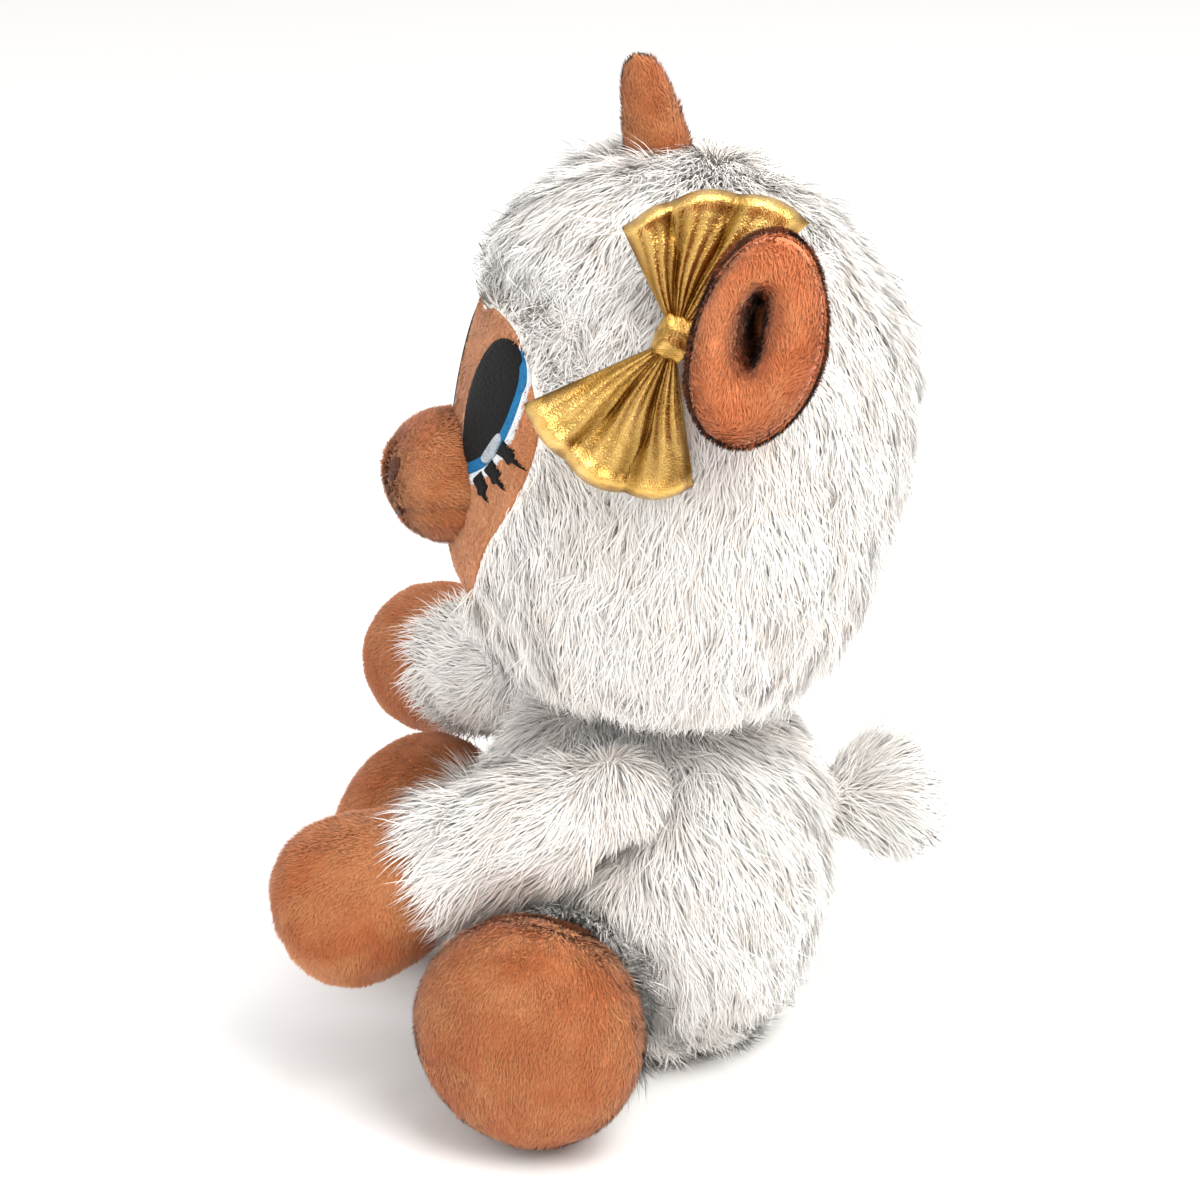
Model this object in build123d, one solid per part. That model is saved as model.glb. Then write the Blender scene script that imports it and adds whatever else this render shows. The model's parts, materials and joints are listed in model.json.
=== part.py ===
"""Plush unicorn, sitting: white long-pile fur with caramel plush face, muzzle, ears, horn, hands and feet.

Row frame, millimetres: +Z up, the body faces -Y, its own left side is +X, the floor is Z = 0 and the
origin is the middle of the flat seat. Every sewn piece is a cover (a closed skin of cloth) with its own
filling inside. Limbs, ears and tail are bodies of revolution or lofts built along +X from a pivot at the
sewn seam, then placed by azimuth and drop. The head is built facing -Y and then turned about the neck.
"""
from build123d import *
import math
import os

# ---------------------------------------------------------------- cloth and clearances
fur_wall = 3.0            # fur cloth, backing and the pressed root of the pile
plush_wall = 2.0          # short caramel plush
joint_gap = 0.8           # between pieces that move against each other
socket_slack = 1.6        # more room round a limb's root, for the part that grows wider
sewn_gap = 0.25           # between cloth and its filling, and between pieces laid on each other
stitch_thickness = 0.9    # raised embroidery

# ---------------------------------------------------------------- torso
torso_width = 112.0
torso_depth = 104.0
torso_height = 100.0
seat_share = 0.45         # flat seat, as a share of the full width and depth
pouch_radius = 24.0       # pellet bag that weights the seat
pouch_height = 15.0
pouch_floor = 6.0         # filling left under the bag

# ---------------------------------------------------------------- neck and head
neck_back = 6.0           # the neck stands this far behind the seat's middle
neck_height = 90.0
neck_radius = 28.0
head_width = 142.0
head_depth = 128.0
head_base = 108.0
head_height = 156.0
head_turn = -8.0          # degrees about the neck; the face looks to its own right

# ---------------------------------------------------------------- face
face_half_width = 46.0
face_top = 220.0
face_bottom = 136.0
eye_half_width = 15.0
eye_half_height = 22.5
eye_spacing = 27.0        # from the middle of the face to the middle of an eye
eye_height = 198.0
eye_lean = 8.0            # degrees; the tops lean outwards
lash_length = 8.0
lash_width = 4.0
muzzle_half_width = 24.0
muzzle_half_height = 19.5
muzzle_reach = 20.0       # from the face to the tip
muzzle_height = 172.0
nostril_half_width = 2.6
nostril_half_height = 3.6
nostril_spacing = 9.0
mouth_half_width = 11.0
mouth_drop = 8.0          # below the middle of the muzzle
mouth_thread = 1.4

# ---------------------------------------------------------------- horn
horn_radius = 10.5
horn_tip_radius = 5.5
horn_length = 27.0
horn_sink = 9.0           # how far the open foot of the horn starts under the crown
horn_lean = 12.0          # degrees forward
horn_back = 6.0           # behind the neck pivot, at the foot

# ---------------------------------------------------------------- ears
ear_length = 42.0
ear_half_depth = 16.5
ear_half_height = 28.0
ear_root_radius = 7.0
ear_height = 232.0
ear_side = 60.5           # from the middle of the head to the ear's seam
ear_back = 16.0
ear_rise = 6.0            # degrees, of the left ear, which stands up
ear_hang = 30.0           # degrees, of the right ear, which has flopped over and hangs
ear_forward = 12.0        # degrees
ear_slot_half_depth = 3.2
ear_slot_half_height = 13.0
ear_slot_depth = 18.0
ear_rim = 6.5             # plush between the slot and the seam round the lining
ear_bend = 12.0           # joint range either way, degrees

# ---------------------------------------------------------------- bow
bow_forward = 9.0         # the knot stands this far in front of the neck pivot
bow_height = 228.0
bow_stand_off = 2.0       # from the head's skin to the back of the knot
bow_lean = 12.0           # degrees; the top leans in over the head
bow_knot_radius = 7.0
bow_knot_length = 16.0
bow_half_thickness = 4.0
bow_upper_length = 27.0
bow_upper_half_width = 19.0
bow_upper_angle = 108.0   # degrees from forwards, in the plane of the head's side
bow_lower_length = 30.0
bow_lower_half_width = 22.0
bow_lower_angle = -58.0

# ---------------------------------------------------------------- arms
shoulder = (43.0, -20.0, 93.0)
arm_reach = 82.0          # seam to the middle of the hand
arm_root_radius = 12.5
sleeve_radius = 18.0
cuff_at = 54.0
hand_radius = 25.5
hand_half_length = 26.0
arm_left_azimuth = -20.0  # degrees outwards from straight ahead
arm_left_drop = 25.5
arm_right_azimuth = 80.0
arm_right_drop = 14.0
arm_raise = 24.0          # joint range, degrees

# ---------------------------------------------------------------- legs
hip_out = 45.0            # from the seat's middle, along the leg
leg_azimuth = 52.0
foot_reach = 42.5         # seam to the middle of the foot
leg_root_radius = 18.0
leg_radius = 22.0
ankle_at = 20.0
foot_radius = 35.0
foot_half_thickness = 22.0
leg_raise = 3.0
leg_lower = 16.0

# ---------------------------------------------------------------- tail
tail_back = 49.0
tail_height = 62.0
tail_root_radius = 9.0
tail_radius = 16.0
tail_length = 35.0
tail_rise = 8.0
tail_swing = 20.0

# Rings from the underside of the head to its crown: share of the height, of the half width and of the
# half depth, then how far the ring stands behind the neck, as a share of the depth.
HEAD_RINGS = [
    (0.000, 0.54, 0.51, 0.015),
    (0.056, 0.74, 0.71, 0.000),
    (0.137, 0.89, 0.84, -0.008),
    (0.242, 0.97, 0.93, -0.004),
    (0.366, 1.00, 0.98, 0.015),
    (0.509, 1.00, 1.00, 0.038),
    (0.658, 0.96, 0.97, 0.042),
    (0.800, 0.82, 0.84, 0.023),
    (0.907, 0.635, 0.65, 0.000),
    (0.975, 0.365, 0.376, -0.008),
    (1.000, 0.12, 0.12, -0.008),
]
# Rings from the seat to the shoulders.
TORSO_RINGS = [
    (0.00, seat_share, seat_share, 0.0),
    (0.06, 0.63, 0.63, 0.0),
    (0.18, 0.80, 0.80, 0.0),
    (0.36, 0.95, 0.95, 0.0),
    (0.60, 1.00, 1.00, 0.0),
    (0.80, 0.91, 0.92, 0.01),
    (0.93, 0.78, 0.80, 0.02),
    (1.00, 0.62, 0.66, 0.03),
]
NECK = Vector(0, neck_back, neck_height)


# ================================================================ shared builders
def ringed(rings, base, height, width, depth, middle_y, inset=0.0):
    """Solid lofted up through elliptical rings, its wall moved inwards by inset."""
    sections = []
    for share, wide, deep, back in rings:
        level = base + inset + share * (height - 2 * inset)
        ring = Ellipse(wide * width / 2 - inset, deep * depth / 2 - inset)
        sections.append(Pos(0, middle_y + back * depth, level) * ring)
    return loft(sections)


def spindle(points, inset=0.0):
    """Body of revolution about +X: a round root about the origin, then a smooth outline out to the tip."""
    root = points[0][1] - inset
    tip = points[-1][0] - inset
    between = [(x, r - inset) for x, r in points[1:-1]]
    end = ThreePointArc((-root, 0), (-root * math.sqrt(0.5), root * math.sqrt(0.5)), (0, root))
    side = Spline((0, root), *between, (tip, 0), tangents=[(1, 0), (0, -1)])
    profile = make_face([end, side, Line((tip, 0), (-root, 0))])
    return revolve(profile, Axis.X, 360)


def carve(body, place, root, widths, low, high, margin):
    """Cuts from body the socket of a limb's root and the room that the limb needs to swing in.

    widths are (distance from the pivot, radius) along the limb, and low and high are the ends of the swing
    in degrees, upwards, in the limb's own XZ plane.
    """
    up, down = math.tan(math.radians(high)), math.tan(math.radians(low))
    first, *_ = widths
    sections = []
    for x, radius in [(1.0, max(first[1], root + socket_slack + 0.4)), *widths]:
        tall = radius + margin + x * (up - down) / 2
        middle = Plane(origin=(x, 0, x * (up + down) / 2), x_dir=(0, 1, 0), z_dir=(1, 0, 0))
        sections.append(middle * Ellipse(radius + margin, tall))
    ball = Rot(0, 90, 0) * Sphere(root + socket_slack + margin)  # its poles on the limb's axis
    return largest(largest(body - place * ball) - place * loft(sections))


def pillow(half_x, half_y, half_z):
    """Egg-shaped solid with three half sizes, its poles on Z."""
    steps = 8
    rings = []
    for k in range(steps + 1):
        angle = math.radians(-84 + 168 * k / steps)
        share = math.cos(angle)
        ring = Ellipse(half_x * share, half_y * share)
        rings.append(Pos(0, 0, half_z * math.sin(angle) / math.sin(math.radians(84))) * ring)
    return loft(rings)


def bag(radius, half_height):
    """Flat round bag about Z."""
    edge = Spline((0, 0, half_height), (radius, 0, 0), (0, 0, -half_height), tangents=[(1, 0, 0), (-1, 0, 0)])
    return revolve(make_face([edge, Line(edge @ 1, edge @ 0)]), Axis.Z, 360)


def aim(pivot, azimuth, drop):
    """Location that lays +X along a limb: azimuth turns outwards from -Y towards +X, drop points it down."""
    return Pos(*pivot) * Rot(0, 0, azimuth - 90) * Rot(0, drop, 0)


def mirrored_point(point):
    x, y, z = point
    return (-x, y, z)


def largest(shape):
    """The biggest solid of a cut that may leave crumbs."""
    return max(shape.solids(), key=lambda solid: solid.volume)


def foremost(shape):
    """The solid of a cut that stands furthest forward."""
    return min(shape.solids(), key=lambda solid: solid.center().Y)


def half_space(x_from, x_to):
    """Block that keeps only the stretch of a limb between two places on its axis."""
    size = 400
    return Pos((x_from + x_to) / 2, 0, 0) * Box(x_to - x_from, size, size)


# ================================================================ limbs
ARM_POINTS = [
    (0, arm_root_radius),
    (cuff_at * 0.42, sleeve_radius),
    (cuff_at * 0.90, sleeve_radius),
    (arm_reach, hand_radius),
    (arm_reach + hand_half_length, 0),
]
LEG_POINTS = [
    (0, leg_root_radius),
    (ankle_at * 0.75, leg_radius),
    (foot_reach, foot_radius),
    (foot_reach + foot_half_thickness, 0),
]
TAIL_POINTS = [
    (0, tail_root_radius),
    (tail_length * 0.6, tail_radius),
    (tail_length, 0),
]


def limb(points, split_at, place, fur_name, plush_name, filling_name):
    """White sleeve, caramel end and the filling that runs through both."""
    skin = spindle(points) - spindle(points, fur_wall)
    start, end = -2 * points[0][1], points[-1][0] + 5
    half_gap = sewn_gap / 2
    return {
        fur_name: place * largest(skin & half_space(start, split_at - half_gap)),
        plush_name: place * largest(skin & half_space(split_at + half_gap, end)),
        filling_name: place * spindle(points, fur_wall + sewn_gap),
    }


# The limb's own +Y hinge lowers it when it turns positive, so raising is a negative turn there.
arm_places = {
    "left": aim(shoulder, arm_left_azimuth, arm_left_drop),
    "right": aim(mirrored_point(shoulder), -arm_right_azimuth, arm_right_drop),
}
hip = (
    hip_out * math.sin(math.radians(leg_azimuth)),
    -hip_out * math.cos(math.radians(leg_azimuth)),
    foot_radius,
)
leg_places = {
    "left": aim(hip, leg_azimuth, 0),
    "right": aim(mirrored_point(hip), -leg_azimuth, 0),
}
tail_pivot = (0, tail_back, tail_height)
tail_place = Pos(*tail_pivot) * Rot(0, 0, 90) * Rot(0, -tail_rise, 0)


def limbs():
    made = {}
    for side in ("left", "right"):
        made |= limb(ARM_POINTS, cuff_at, arm_places[side],
                     f"arm_{side}_sleeve", f"hand_{side}", f"arm_{side}_filling")
        made |= limb(LEG_POINTS, ankle_at, leg_places[side],
                     f"leg_{side}_sleeve", f"foot_{side}", f"leg_{side}_filling")
    made["tail_cover"] = tail_place * (spindle(TAIL_POINTS) - spindle(TAIL_POINTS, fur_wall))
    made["tail_filling"] = tail_place * spindle(TAIL_POINTS, fur_wall + sewn_gap)
    return made


# Distance from the pivot and radius, where a limb is still near the body.
ARM_NEAR = [(14.0, arm_root_radius + 5.0), (26.0, sleeve_radius + 2.0), (46.0, sleeve_radius + 2.4),
            (62.0, sleeve_radius + 5.4)]
LEG_NEAR = [(10.0, leg_root_radius + 3.5), (26.0, leg_radius + 6.0)]
TAIL_NEAR = [(8.0, tail_root_radius + 2.5), (18.0, tail_radius)]


def carve_limbs(body, margin):
    """The hollows that the limbs and the tail lie in on the torso."""
    for side in ("left", "right"):
        body = carve(body, arm_places[side], arm_root_radius, ARM_NEAR, 0, arm_raise, margin)
        body = carve(body, leg_places[side], leg_root_radius, LEG_NEAR, -leg_lower, leg_raise, margin)
    sideways = tail_place * Rot(90, 0, 0)
    return carve(body, sideways, tail_root_radius, TAIL_NEAR, -tail_swing, tail_swing, margin)


# ================================================================ torso
def torso():
    outer = ringed(TORSO_RINGS, 0, torso_height, torso_width, torso_depth, 0)
    outer += Pos(NECK) * Sphere(neck_radius)
    inner = ringed(TORSO_RINGS, 0, torso_height, torso_width, torso_depth, 0, fur_wall)
    inner += Pos(NECK) * Sphere(neck_radius - fur_wall)
    outer = carve_limbs(outer, joint_gap)
    cloth_inside = carve_limbs(inner, joint_gap + fur_wall)
    filling = ringed(TORSO_RINGS, 0, torso_height, torso_width, torso_depth, 0, fur_wall + sewn_gap)
    filling += Pos(NECK) * Sphere(neck_radius - fur_wall - sewn_gap)
    filling = carve_limbs(filling, joint_gap + fur_wall + sewn_gap)
    place = Pos(0, 0, pouch_floor + pouch_height / 2)
    half = pouch_height / 2
    pouch = place * bag(pouch_radius, half)
    room = place * bag(pouch_radius + sewn_gap, half + sewn_gap)
    hollow = place * bag(pouch_radius - plush_wall, half - plush_wall)
    pellets = place * bag(pouch_radius - plush_wall - sewn_gap, half - plush_wall - sewn_gap)
    return {
        "torso_cover": largest(outer - cloth_inside),
        "torso_filling": filling - room,
        "pellet_pouch": pouch - hollow,
        "pellet_fill": pellets,
    }


# ================================================================ head
def head_skin(inset=0.0):
    return ringed(HEAD_RINGS, head_base, head_height, head_width, head_depth, neck_back, inset)


def facing(sketch, height, depth=120):
    """Prism of a sketch drawn as seen from the front, at a height, running through the face."""
    front = Plane(origin=(0, neck_back, height), x_dir=(1, 0, 0), z_dir=(0, -1, 0))
    return extrude(front * sketch, amount=depth)


def face_opening(grow=0.0):
    """Prism of the heart-shaped opening in the hood, grown sideways by grow."""
    middle = (face_top + face_bottom) / 2
    tall = (face_top - face_bottom) / 2 + grow
    wide = face_half_width + grow
    side = [(0.55, 0.93), (0.98, 0.45), (0.82, -0.30), (0.42, -0.82)]
    down = [(wide * x, tall * z) for x, z in side]
    up = [(-x, z) for x, z in reversed(down)]
    near = Spline((0, tall), *down, (0, -tall), tangents=[(1, 0), (-1, 0)])
    far = Spline((0, -tall), *up, (0, tall), tangents=[(-1, 0), (1, 0)])
    return facing(make_face([near, far]), middle)


def eye_sketches():
    """Black oval, blue crescent and white rim of the left eye, and its three lashes, about its middle."""
    whole = Ellipse(eye_half_width, eye_half_height)
    blue_edge = Pos(-2.0, 2.2) * Ellipse(eye_half_width - 0.6, eye_half_height - 1.2)
    black_edge = Pos(-3.6, 4.4) * Ellipse(eye_half_width - 1.6, eye_half_height - 3.4)
    glint = Pos(eye_half_width * 0.48, -eye_half_height * 0.12) * Rot(0, 0, -12) * Ellipse(2.0, 3.6)
    lashes = []
    for turn in (-8, -26, -44):
        out = math.radians(turn)
        foot = (eye_half_width * math.cos(out), eye_half_height * math.sin(out))
        tip = (foot[0] + lash_length * math.cos(out * 0.6), foot[1] + lash_length * math.sin(out * 0.6))
        across = Vector(foot[1] - tip[1], tip[0] - foot[0]).normalized() * (lash_width / 2)
        start = 0.10
        root = (foot[0] + start * (tip[0] - foot[0]), foot[1] + start * (tip[1] - foot[1]))
        lashes.append(make_face(Polyline(
            (root[0] - across.X, root[1] - across.Y), tip,
            (root[0] + across.X, root[1] + across.Y), close=True)))
    black = whole & black_edge
    blue = (whole & blue_edge) - black_edge - glint
    white = whole - blue_edge - black_edge
    return {
        "eye_black": black - glint,
        "eye_blue": blue,
        "eye_white": white,
        "eye_glint": glint & whole,
        "lashes": lashes,
    }


def embroidery(skin_lift):
    """The eyes, as raised patches that follow the face and stop short of the muzzle."""
    kept_clear = muzzle_place() * pillow(*(half + sewn_gap for half in MUZZLE_HALVES))
    free = skin_lift - kept_clear
    made = {}
    for side, sign in (("left", 1), ("right", -1)):
        for name, sketches in eye_sketches().items():
            solids = []
            for sketch in sketches if isinstance(sketches, list) else [sketches]:
                leaned = Rot(0, 0, -eye_lean) * sketch
                if sign < 0:
                    leaned = mirror(leaned, Plane.YZ)
                prism = facing(Pos(sign * eye_spacing, 0) * leaned, eye_height)
                solids += [s for s in (prism & free).solids() if s.volume > 0.2]
            made[f"{name}_{side}"] = Compound(solids) if len(solids) > 1 else solids[0]
    return made


MUZZLE_HALVES = (muzzle_half_width, muzzle_reach, muzzle_half_height)


def muzzle_place():
    return Pos(0, face_front(muzzle_height), muzzle_height)


def muzzle(skin):
    """Round snout on the lower face, with its embroidered nostrils and mouth."""
    place = muzzle_place()
    outer, inner, core, raised = (
        place * pillow(*(half + change for half in MUZZLE_HALVES))
        for change in (0, -plush_wall, -plush_wall - sewn_gap, stitch_thickness))
    lift = raised - outer
    made = {
        "muzzle_cover": largest(outer - inner - skin),
        "muzzle_filling": largest(core - skin),
    }
    for side, sign in (("left", 1), ("right", -1)):
        hole = Pos(sign * nostril_spacing, muzzle_half_height * 0.25) * Ellipse(
            nostril_half_width, nostril_half_height)
        made[f"nostril_{side}"] = foremost(facing(hole, muzzle_height) & lift)
    smile = ThreePointArc((-mouth_half_width, -mouth_drop + 3), (0, -mouth_drop), (mouth_half_width, -mouth_drop + 3))
    band = make_face([
        smile,
        Line(smile @ 1, (smile @ 1) - Vector(0, mouth_thread)),
        ThreePointArc((mouth_half_width, -mouth_drop + 3 - mouth_thread), (0, -mouth_drop - mouth_thread),
                      (-mouth_half_width, -mouth_drop + 3 - mouth_thread)),
        Line((-mouth_half_width, -mouth_drop + 3 - mouth_thread), smile @ 0),
    ])
    made["mouth_stitch"] = foremost(facing(band, muzzle_height) & lift)
    return made


def between_rings(height):
    """Half width, half depth and middle of the head's skin at a height, between its rings."""
    share = (height - head_base) / head_height
    for low, high in zip(HEAD_RINGS, HEAD_RINGS[1:]):
        if low[0] <= share <= high[0]:
            part = (share - low[0]) / (high[0] - low[0])
            wide, deep, back = (low[i] + part * (high[i] - low[i]) for i in (1, 2, 3))
            return wide * head_width / 2, deep * head_depth / 2, neck_back + back * head_depth
    raise ValueError("that height is off the head")


def face_front(height):
    """Y of the head's skin straight ahead at a height."""
    _, half_depth, middle = between_rings(height)
    return middle - half_depth


def horn(skin):
    """Blunt cone of plush that leans forward, its open foot sewn round the crown."""
    foot = head_base + head_height - horn_sink
    lean = math.radians(horn_lean)
    place = Pos(0, neck_back - horn_back + 2 * horn_sink * math.sin(lean), foot)
    place = place * Rot(horn_lean, 0, 0) * Rot(0, -90, 0)
    whole = horn_sink + horn_length
    points = [
        (0, horn_radius),
        (whole * 0.45, horn_radius * 0.86),
        (whole - horn_tip_radius, horn_tip_radius),
        (whole, 0),
    ]
    shell = spindle(points) - spindle(points, plush_wall)
    return {
        "horn_cover": largest(place * shell - skin),
        "horn_filling": largest(place * spindle(points, plush_wall + sewn_gap) - skin),
    }


# Along the ear, then shares of the half depth and half height: a gathered stalk, then the leaf.
EAR_RINGS = [(0.0, 0.36, 0.25), (0.22, 0.42, 0.30), (0.42, 0.84, 0.76), (0.68, 1.0, 1.0), (0.9, 0.92, 0.92),
             (1.0, 0.66, 0.70)]
EAR_NEAR = [(8.0, ear_root_radius + 1.6), (15.0, ear_half_height * 0.5), (22.0, ear_half_height * 0.6)]


def ear_seam(side):
    """Lays +X out along an ear from its seam: the left one stands up, the right one hangs."""
    sign, drop = (1, -ear_rise) if side == "left" else (-1, ear_hang)
    azimuth = 90 - ear_forward
    return aim((sign * ear_side, neck_back + ear_back, ear_height), sign * azimuth, drop)


def ear_place(side):
    """The hanging ear has turned over on its stalk, so that it lies flat."""
    return ear_seam(side) * Rot(0 if side == "left" else 90, 0, 0)


def ear(side):
    """Thick folded leaf: the outer cover, and the lining with the fold's slot in it."""
    sections = []
    for share, deep, high in EAR_RINGS:
        plane = Plane(origin=(share * ear_length, 0, 0), x_dir=(0, 1, 0), z_dir=(1, 0, 0))
        sections.append(plane * Ellipse(deep * ear_half_depth, high * ear_half_height))
    outer = loft(sections) + Sphere(ear_root_radius * 0.85)
    mouth = Plane(origin=(ear_length + 1, 0, 0), x_dir=(0, 1, 0), z_dir=(-1, 0, 0))

    def well(rim, depth):
        return extrude(mouth * Ellipse(ear_slot_half_depth + rim, ear_slot_half_height + rim), amount=depth)

    lining = well(ear_rim - sewn_gap, ear_slot_depth + 5 - sewn_gap) & outer
    return {
        f"ear_{side}_cover": ear_place(side) * largest(outer - well(ear_rim, ear_slot_depth + 5)),
        f"ear_{side}_lining": ear_place(side) * largest(lining - well(0, ear_slot_depth)),
    }


def carve_ears(body, margin):
    """The small sockets of the ears' roots in the head."""
    for side in ("left", "right"):
        body = carve(body, ear_seam(side), ear_root_radius, EAR_NEAR, -ear_bend, ear_bend, margin)
    return body


def bow_loop(length, half_width, angle):
    """One gathered loop, narrow at the knot and spread at its end, its back on the plane X = 0."""
    out = math.radians(angle)
    axis = Vector(0, -math.cos(out), math.sin(out))
    sections = []
    for share, wide, thick in ((0, 0.2, 0.6), (0.3, 0.45, 0.9), (0.65, 0.82, 1.0), (0.92, 1.0, 0.75), (1.0, 0.97, 0.4)):
        middle = axis * (bow_knot_radius * 0.7 + share * length) + Vector(bow_half_thickness, 0, 0)
        plane = Plane(origin=middle, x_dir=(1, 0, 0), z_dir=axis)
        sections.append(plane * Ellipse(thick * bow_half_thickness, wide * half_width))
    return loft(sections)


def bow(skin):
    """Two gathered loops of gold cloth and the wrap between them, flat against the side of the head."""
    half_width, _, _ = between_rings(bow_height)
    forward_share = bow_forward / (head_depth / 2)
    level = half_width * math.sqrt(1 - forward_share ** 2) + bow_stand_off
    place = Pos(level, neck_back - bow_forward, bow_height) * Rot(0, -bow_lean, 0)
    upper = bow_loop(bow_upper_length, bow_upper_half_width, bow_upper_angle)
    lower = bow_loop(bow_lower_length, bow_lower_half_width, bow_lower_angle)
    across = math.radians((bow_upper_angle + bow_lower_angle) / 2)
    along = Vector(0, -math.cos(across), math.sin(across))
    wrap = Plane(origin=along * (-bow_knot_length / 2) + Vector(bow_half_thickness, 0, 0),
                 x_dir=(1, 0, 0), z_dir=along)
    knot = extrude(wrap * Ellipse(bow_half_thickness + 2, bow_knot_radius), amount=bow_knot_length)
    room = extrude(wrap * Ellipse(bow_half_thickness + 2 + sewn_gap, bow_knot_radius + sewn_gap),
                   amount=bow_knot_length)
    return {
        "bow_upper_loop": largest(place * (upper - room) - skin),
        "bow_lower_loop": largest(place * (lower - room) - skin),
        "bow_knot": largest(place * knot - skin),
    }


def head():
    skin = head_skin()
    outer = carve_ears(skin - Pos(NECK) * Sphere(neck_radius + joint_gap), joint_gap)
    wall = joint_gap + fur_wall
    inside = carve_ears(head_skin(fur_wall) - Pos(NECK) * Sphere(neck_radius + wall), wall)
    padded = wall + sewn_gap
    filling = carve_ears(head_skin(fur_wall + sewn_gap) - Pos(NECK) * Sphere(neck_radius + padded), padded)
    shell = outer - inside
    made = {
        "face_panel": largest(shell & face_opening()),
        "head_cover": largest(shell - face_opening(sewn_gap)),
        "head_filling": largest(filling),
    }
    made |= embroidery(head_skin(-stitch_thickness) - skin)
    made |= muzzle(skin)
    made |= horn(skin)
    made |= bow(skin)
    made |= ear("left")
    made |= ear("right")
    turned = Pos(NECK) * Rot(0, 0, head_turn) * Pos(-NECK)
    return {name: turned * shape for name, shape in made.items()}


def main():
    os.makedirs("parts", exist_ok=True)
    for name, shape in (torso() | limbs() | head()).items():
        export_step(shape, f"parts/{name}.step")


if __name__ == "__main__":
    main()
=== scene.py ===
"""Seated plush unicorn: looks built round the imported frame, in metres, face towards -Y, left side +X."""
import json
import math

import bmesh
import bpy
import numpy as np
from mathutils import Matrix, Vector
from mathutils.bvhtree import BVHTree


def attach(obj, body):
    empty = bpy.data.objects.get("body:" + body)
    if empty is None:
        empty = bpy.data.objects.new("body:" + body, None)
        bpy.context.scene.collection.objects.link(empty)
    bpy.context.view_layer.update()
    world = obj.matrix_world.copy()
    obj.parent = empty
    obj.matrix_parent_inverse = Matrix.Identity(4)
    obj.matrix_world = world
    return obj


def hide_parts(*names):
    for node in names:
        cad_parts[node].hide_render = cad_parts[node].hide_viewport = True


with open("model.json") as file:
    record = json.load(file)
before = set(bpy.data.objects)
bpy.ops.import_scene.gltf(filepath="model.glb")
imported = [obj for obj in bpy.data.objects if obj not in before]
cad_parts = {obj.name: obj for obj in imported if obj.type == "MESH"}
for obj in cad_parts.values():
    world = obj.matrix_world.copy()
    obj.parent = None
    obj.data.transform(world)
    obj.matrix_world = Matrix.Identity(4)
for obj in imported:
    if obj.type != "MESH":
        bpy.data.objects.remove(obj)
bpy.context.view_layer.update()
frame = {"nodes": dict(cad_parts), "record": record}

MM = 0.001

# ------------------------------------------------------------------------------------------------
# Camera, light and floor. A long lens at the toy's left front, a large soft key light over its
# right-hand side, a weaker fill, and a pale seamless floor.

view_side, view_height = math.radians(75), math.radians(20)
view_distance, view_lens = 1.10, 115.5
view_back = Vector((math.sin(view_side) * math.cos(view_height),
                    -math.cos(view_side) * math.cos(view_height), math.sin(view_height)))
view_aim = Vector((-0.0037, -0.0138, 0.1322))
lens = bpy.data.cameras.new("studio_camera")
lens.lens = view_lens
camera = bpy.data.objects.new("studio_camera", lens)
camera.location = view_aim + view_back * view_distance
camera.rotation_euler = view_back.to_track_quat("Z", "Y").to_euler()
bpy.context.scene.collection.objects.link(camera)
bpy.context.scene.camera = camera
bpy.context.scene.view_settings.view_transform = "Standard"


def soft_light(name, side, height, distance, size, power, colour):
    """A square soft box that looks at the toy's chest."""
    data = bpy.data.lights.new(name, "AREA")
    data.size, data.energy, data.color = size, power, colour
    box = bpy.data.objects.new(name, data)
    turn, rise = math.radians(side), math.radians(height)
    away = Vector((math.sin(turn) * math.cos(rise), -math.cos(turn) * math.cos(rise), math.sin(rise)))
    box.location = Vector((0, 0, 0.13)) + away * distance
    box.rotation_euler = away.to_track_quat("Z", "Y").to_euler()
    bpy.context.scene.collection.objects.link(box)


soft_light("key_light", side=115, height=48, distance=1.5, size=0.9, power=19, colour=(1.0, 0.98, 0.95))
soft_light("fill_light", side=20, height=30, distance=1.6, size=1.1, power=6, colour=(0.95, 0.97, 1.0))
soft_light("top_light", side=160, height=78, distance=1.4, size=1.0, power=10, colour=(1.0, 1.0, 1.0))


class Wire:
    """A socket in a material, whose arithmetic makes Math nodes."""

    def __init__(self, finish, socket):
        self.finish, self.socket = finish, socket

    def maths(self, operation, first, second):
        return self.finish.node("ShaderNodeMath", {"operation": operation}, {0: first, 1: second})

    def __add__(self, other):
        return self.maths("ADD", self, other)

    def __radd__(self, other):
        return self.maths("ADD", other, self)

    def __sub__(self, other):
        return self.maths("SUBTRACT", self, other)

    def __rsub__(self, other):
        return self.maths("SUBTRACT", other, self)

    def __mul__(self, other):
        return self.maths("MULTIPLY", self, other)

    def __rmul__(self, other):
        return self.maths("MULTIPLY", other, self)


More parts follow.
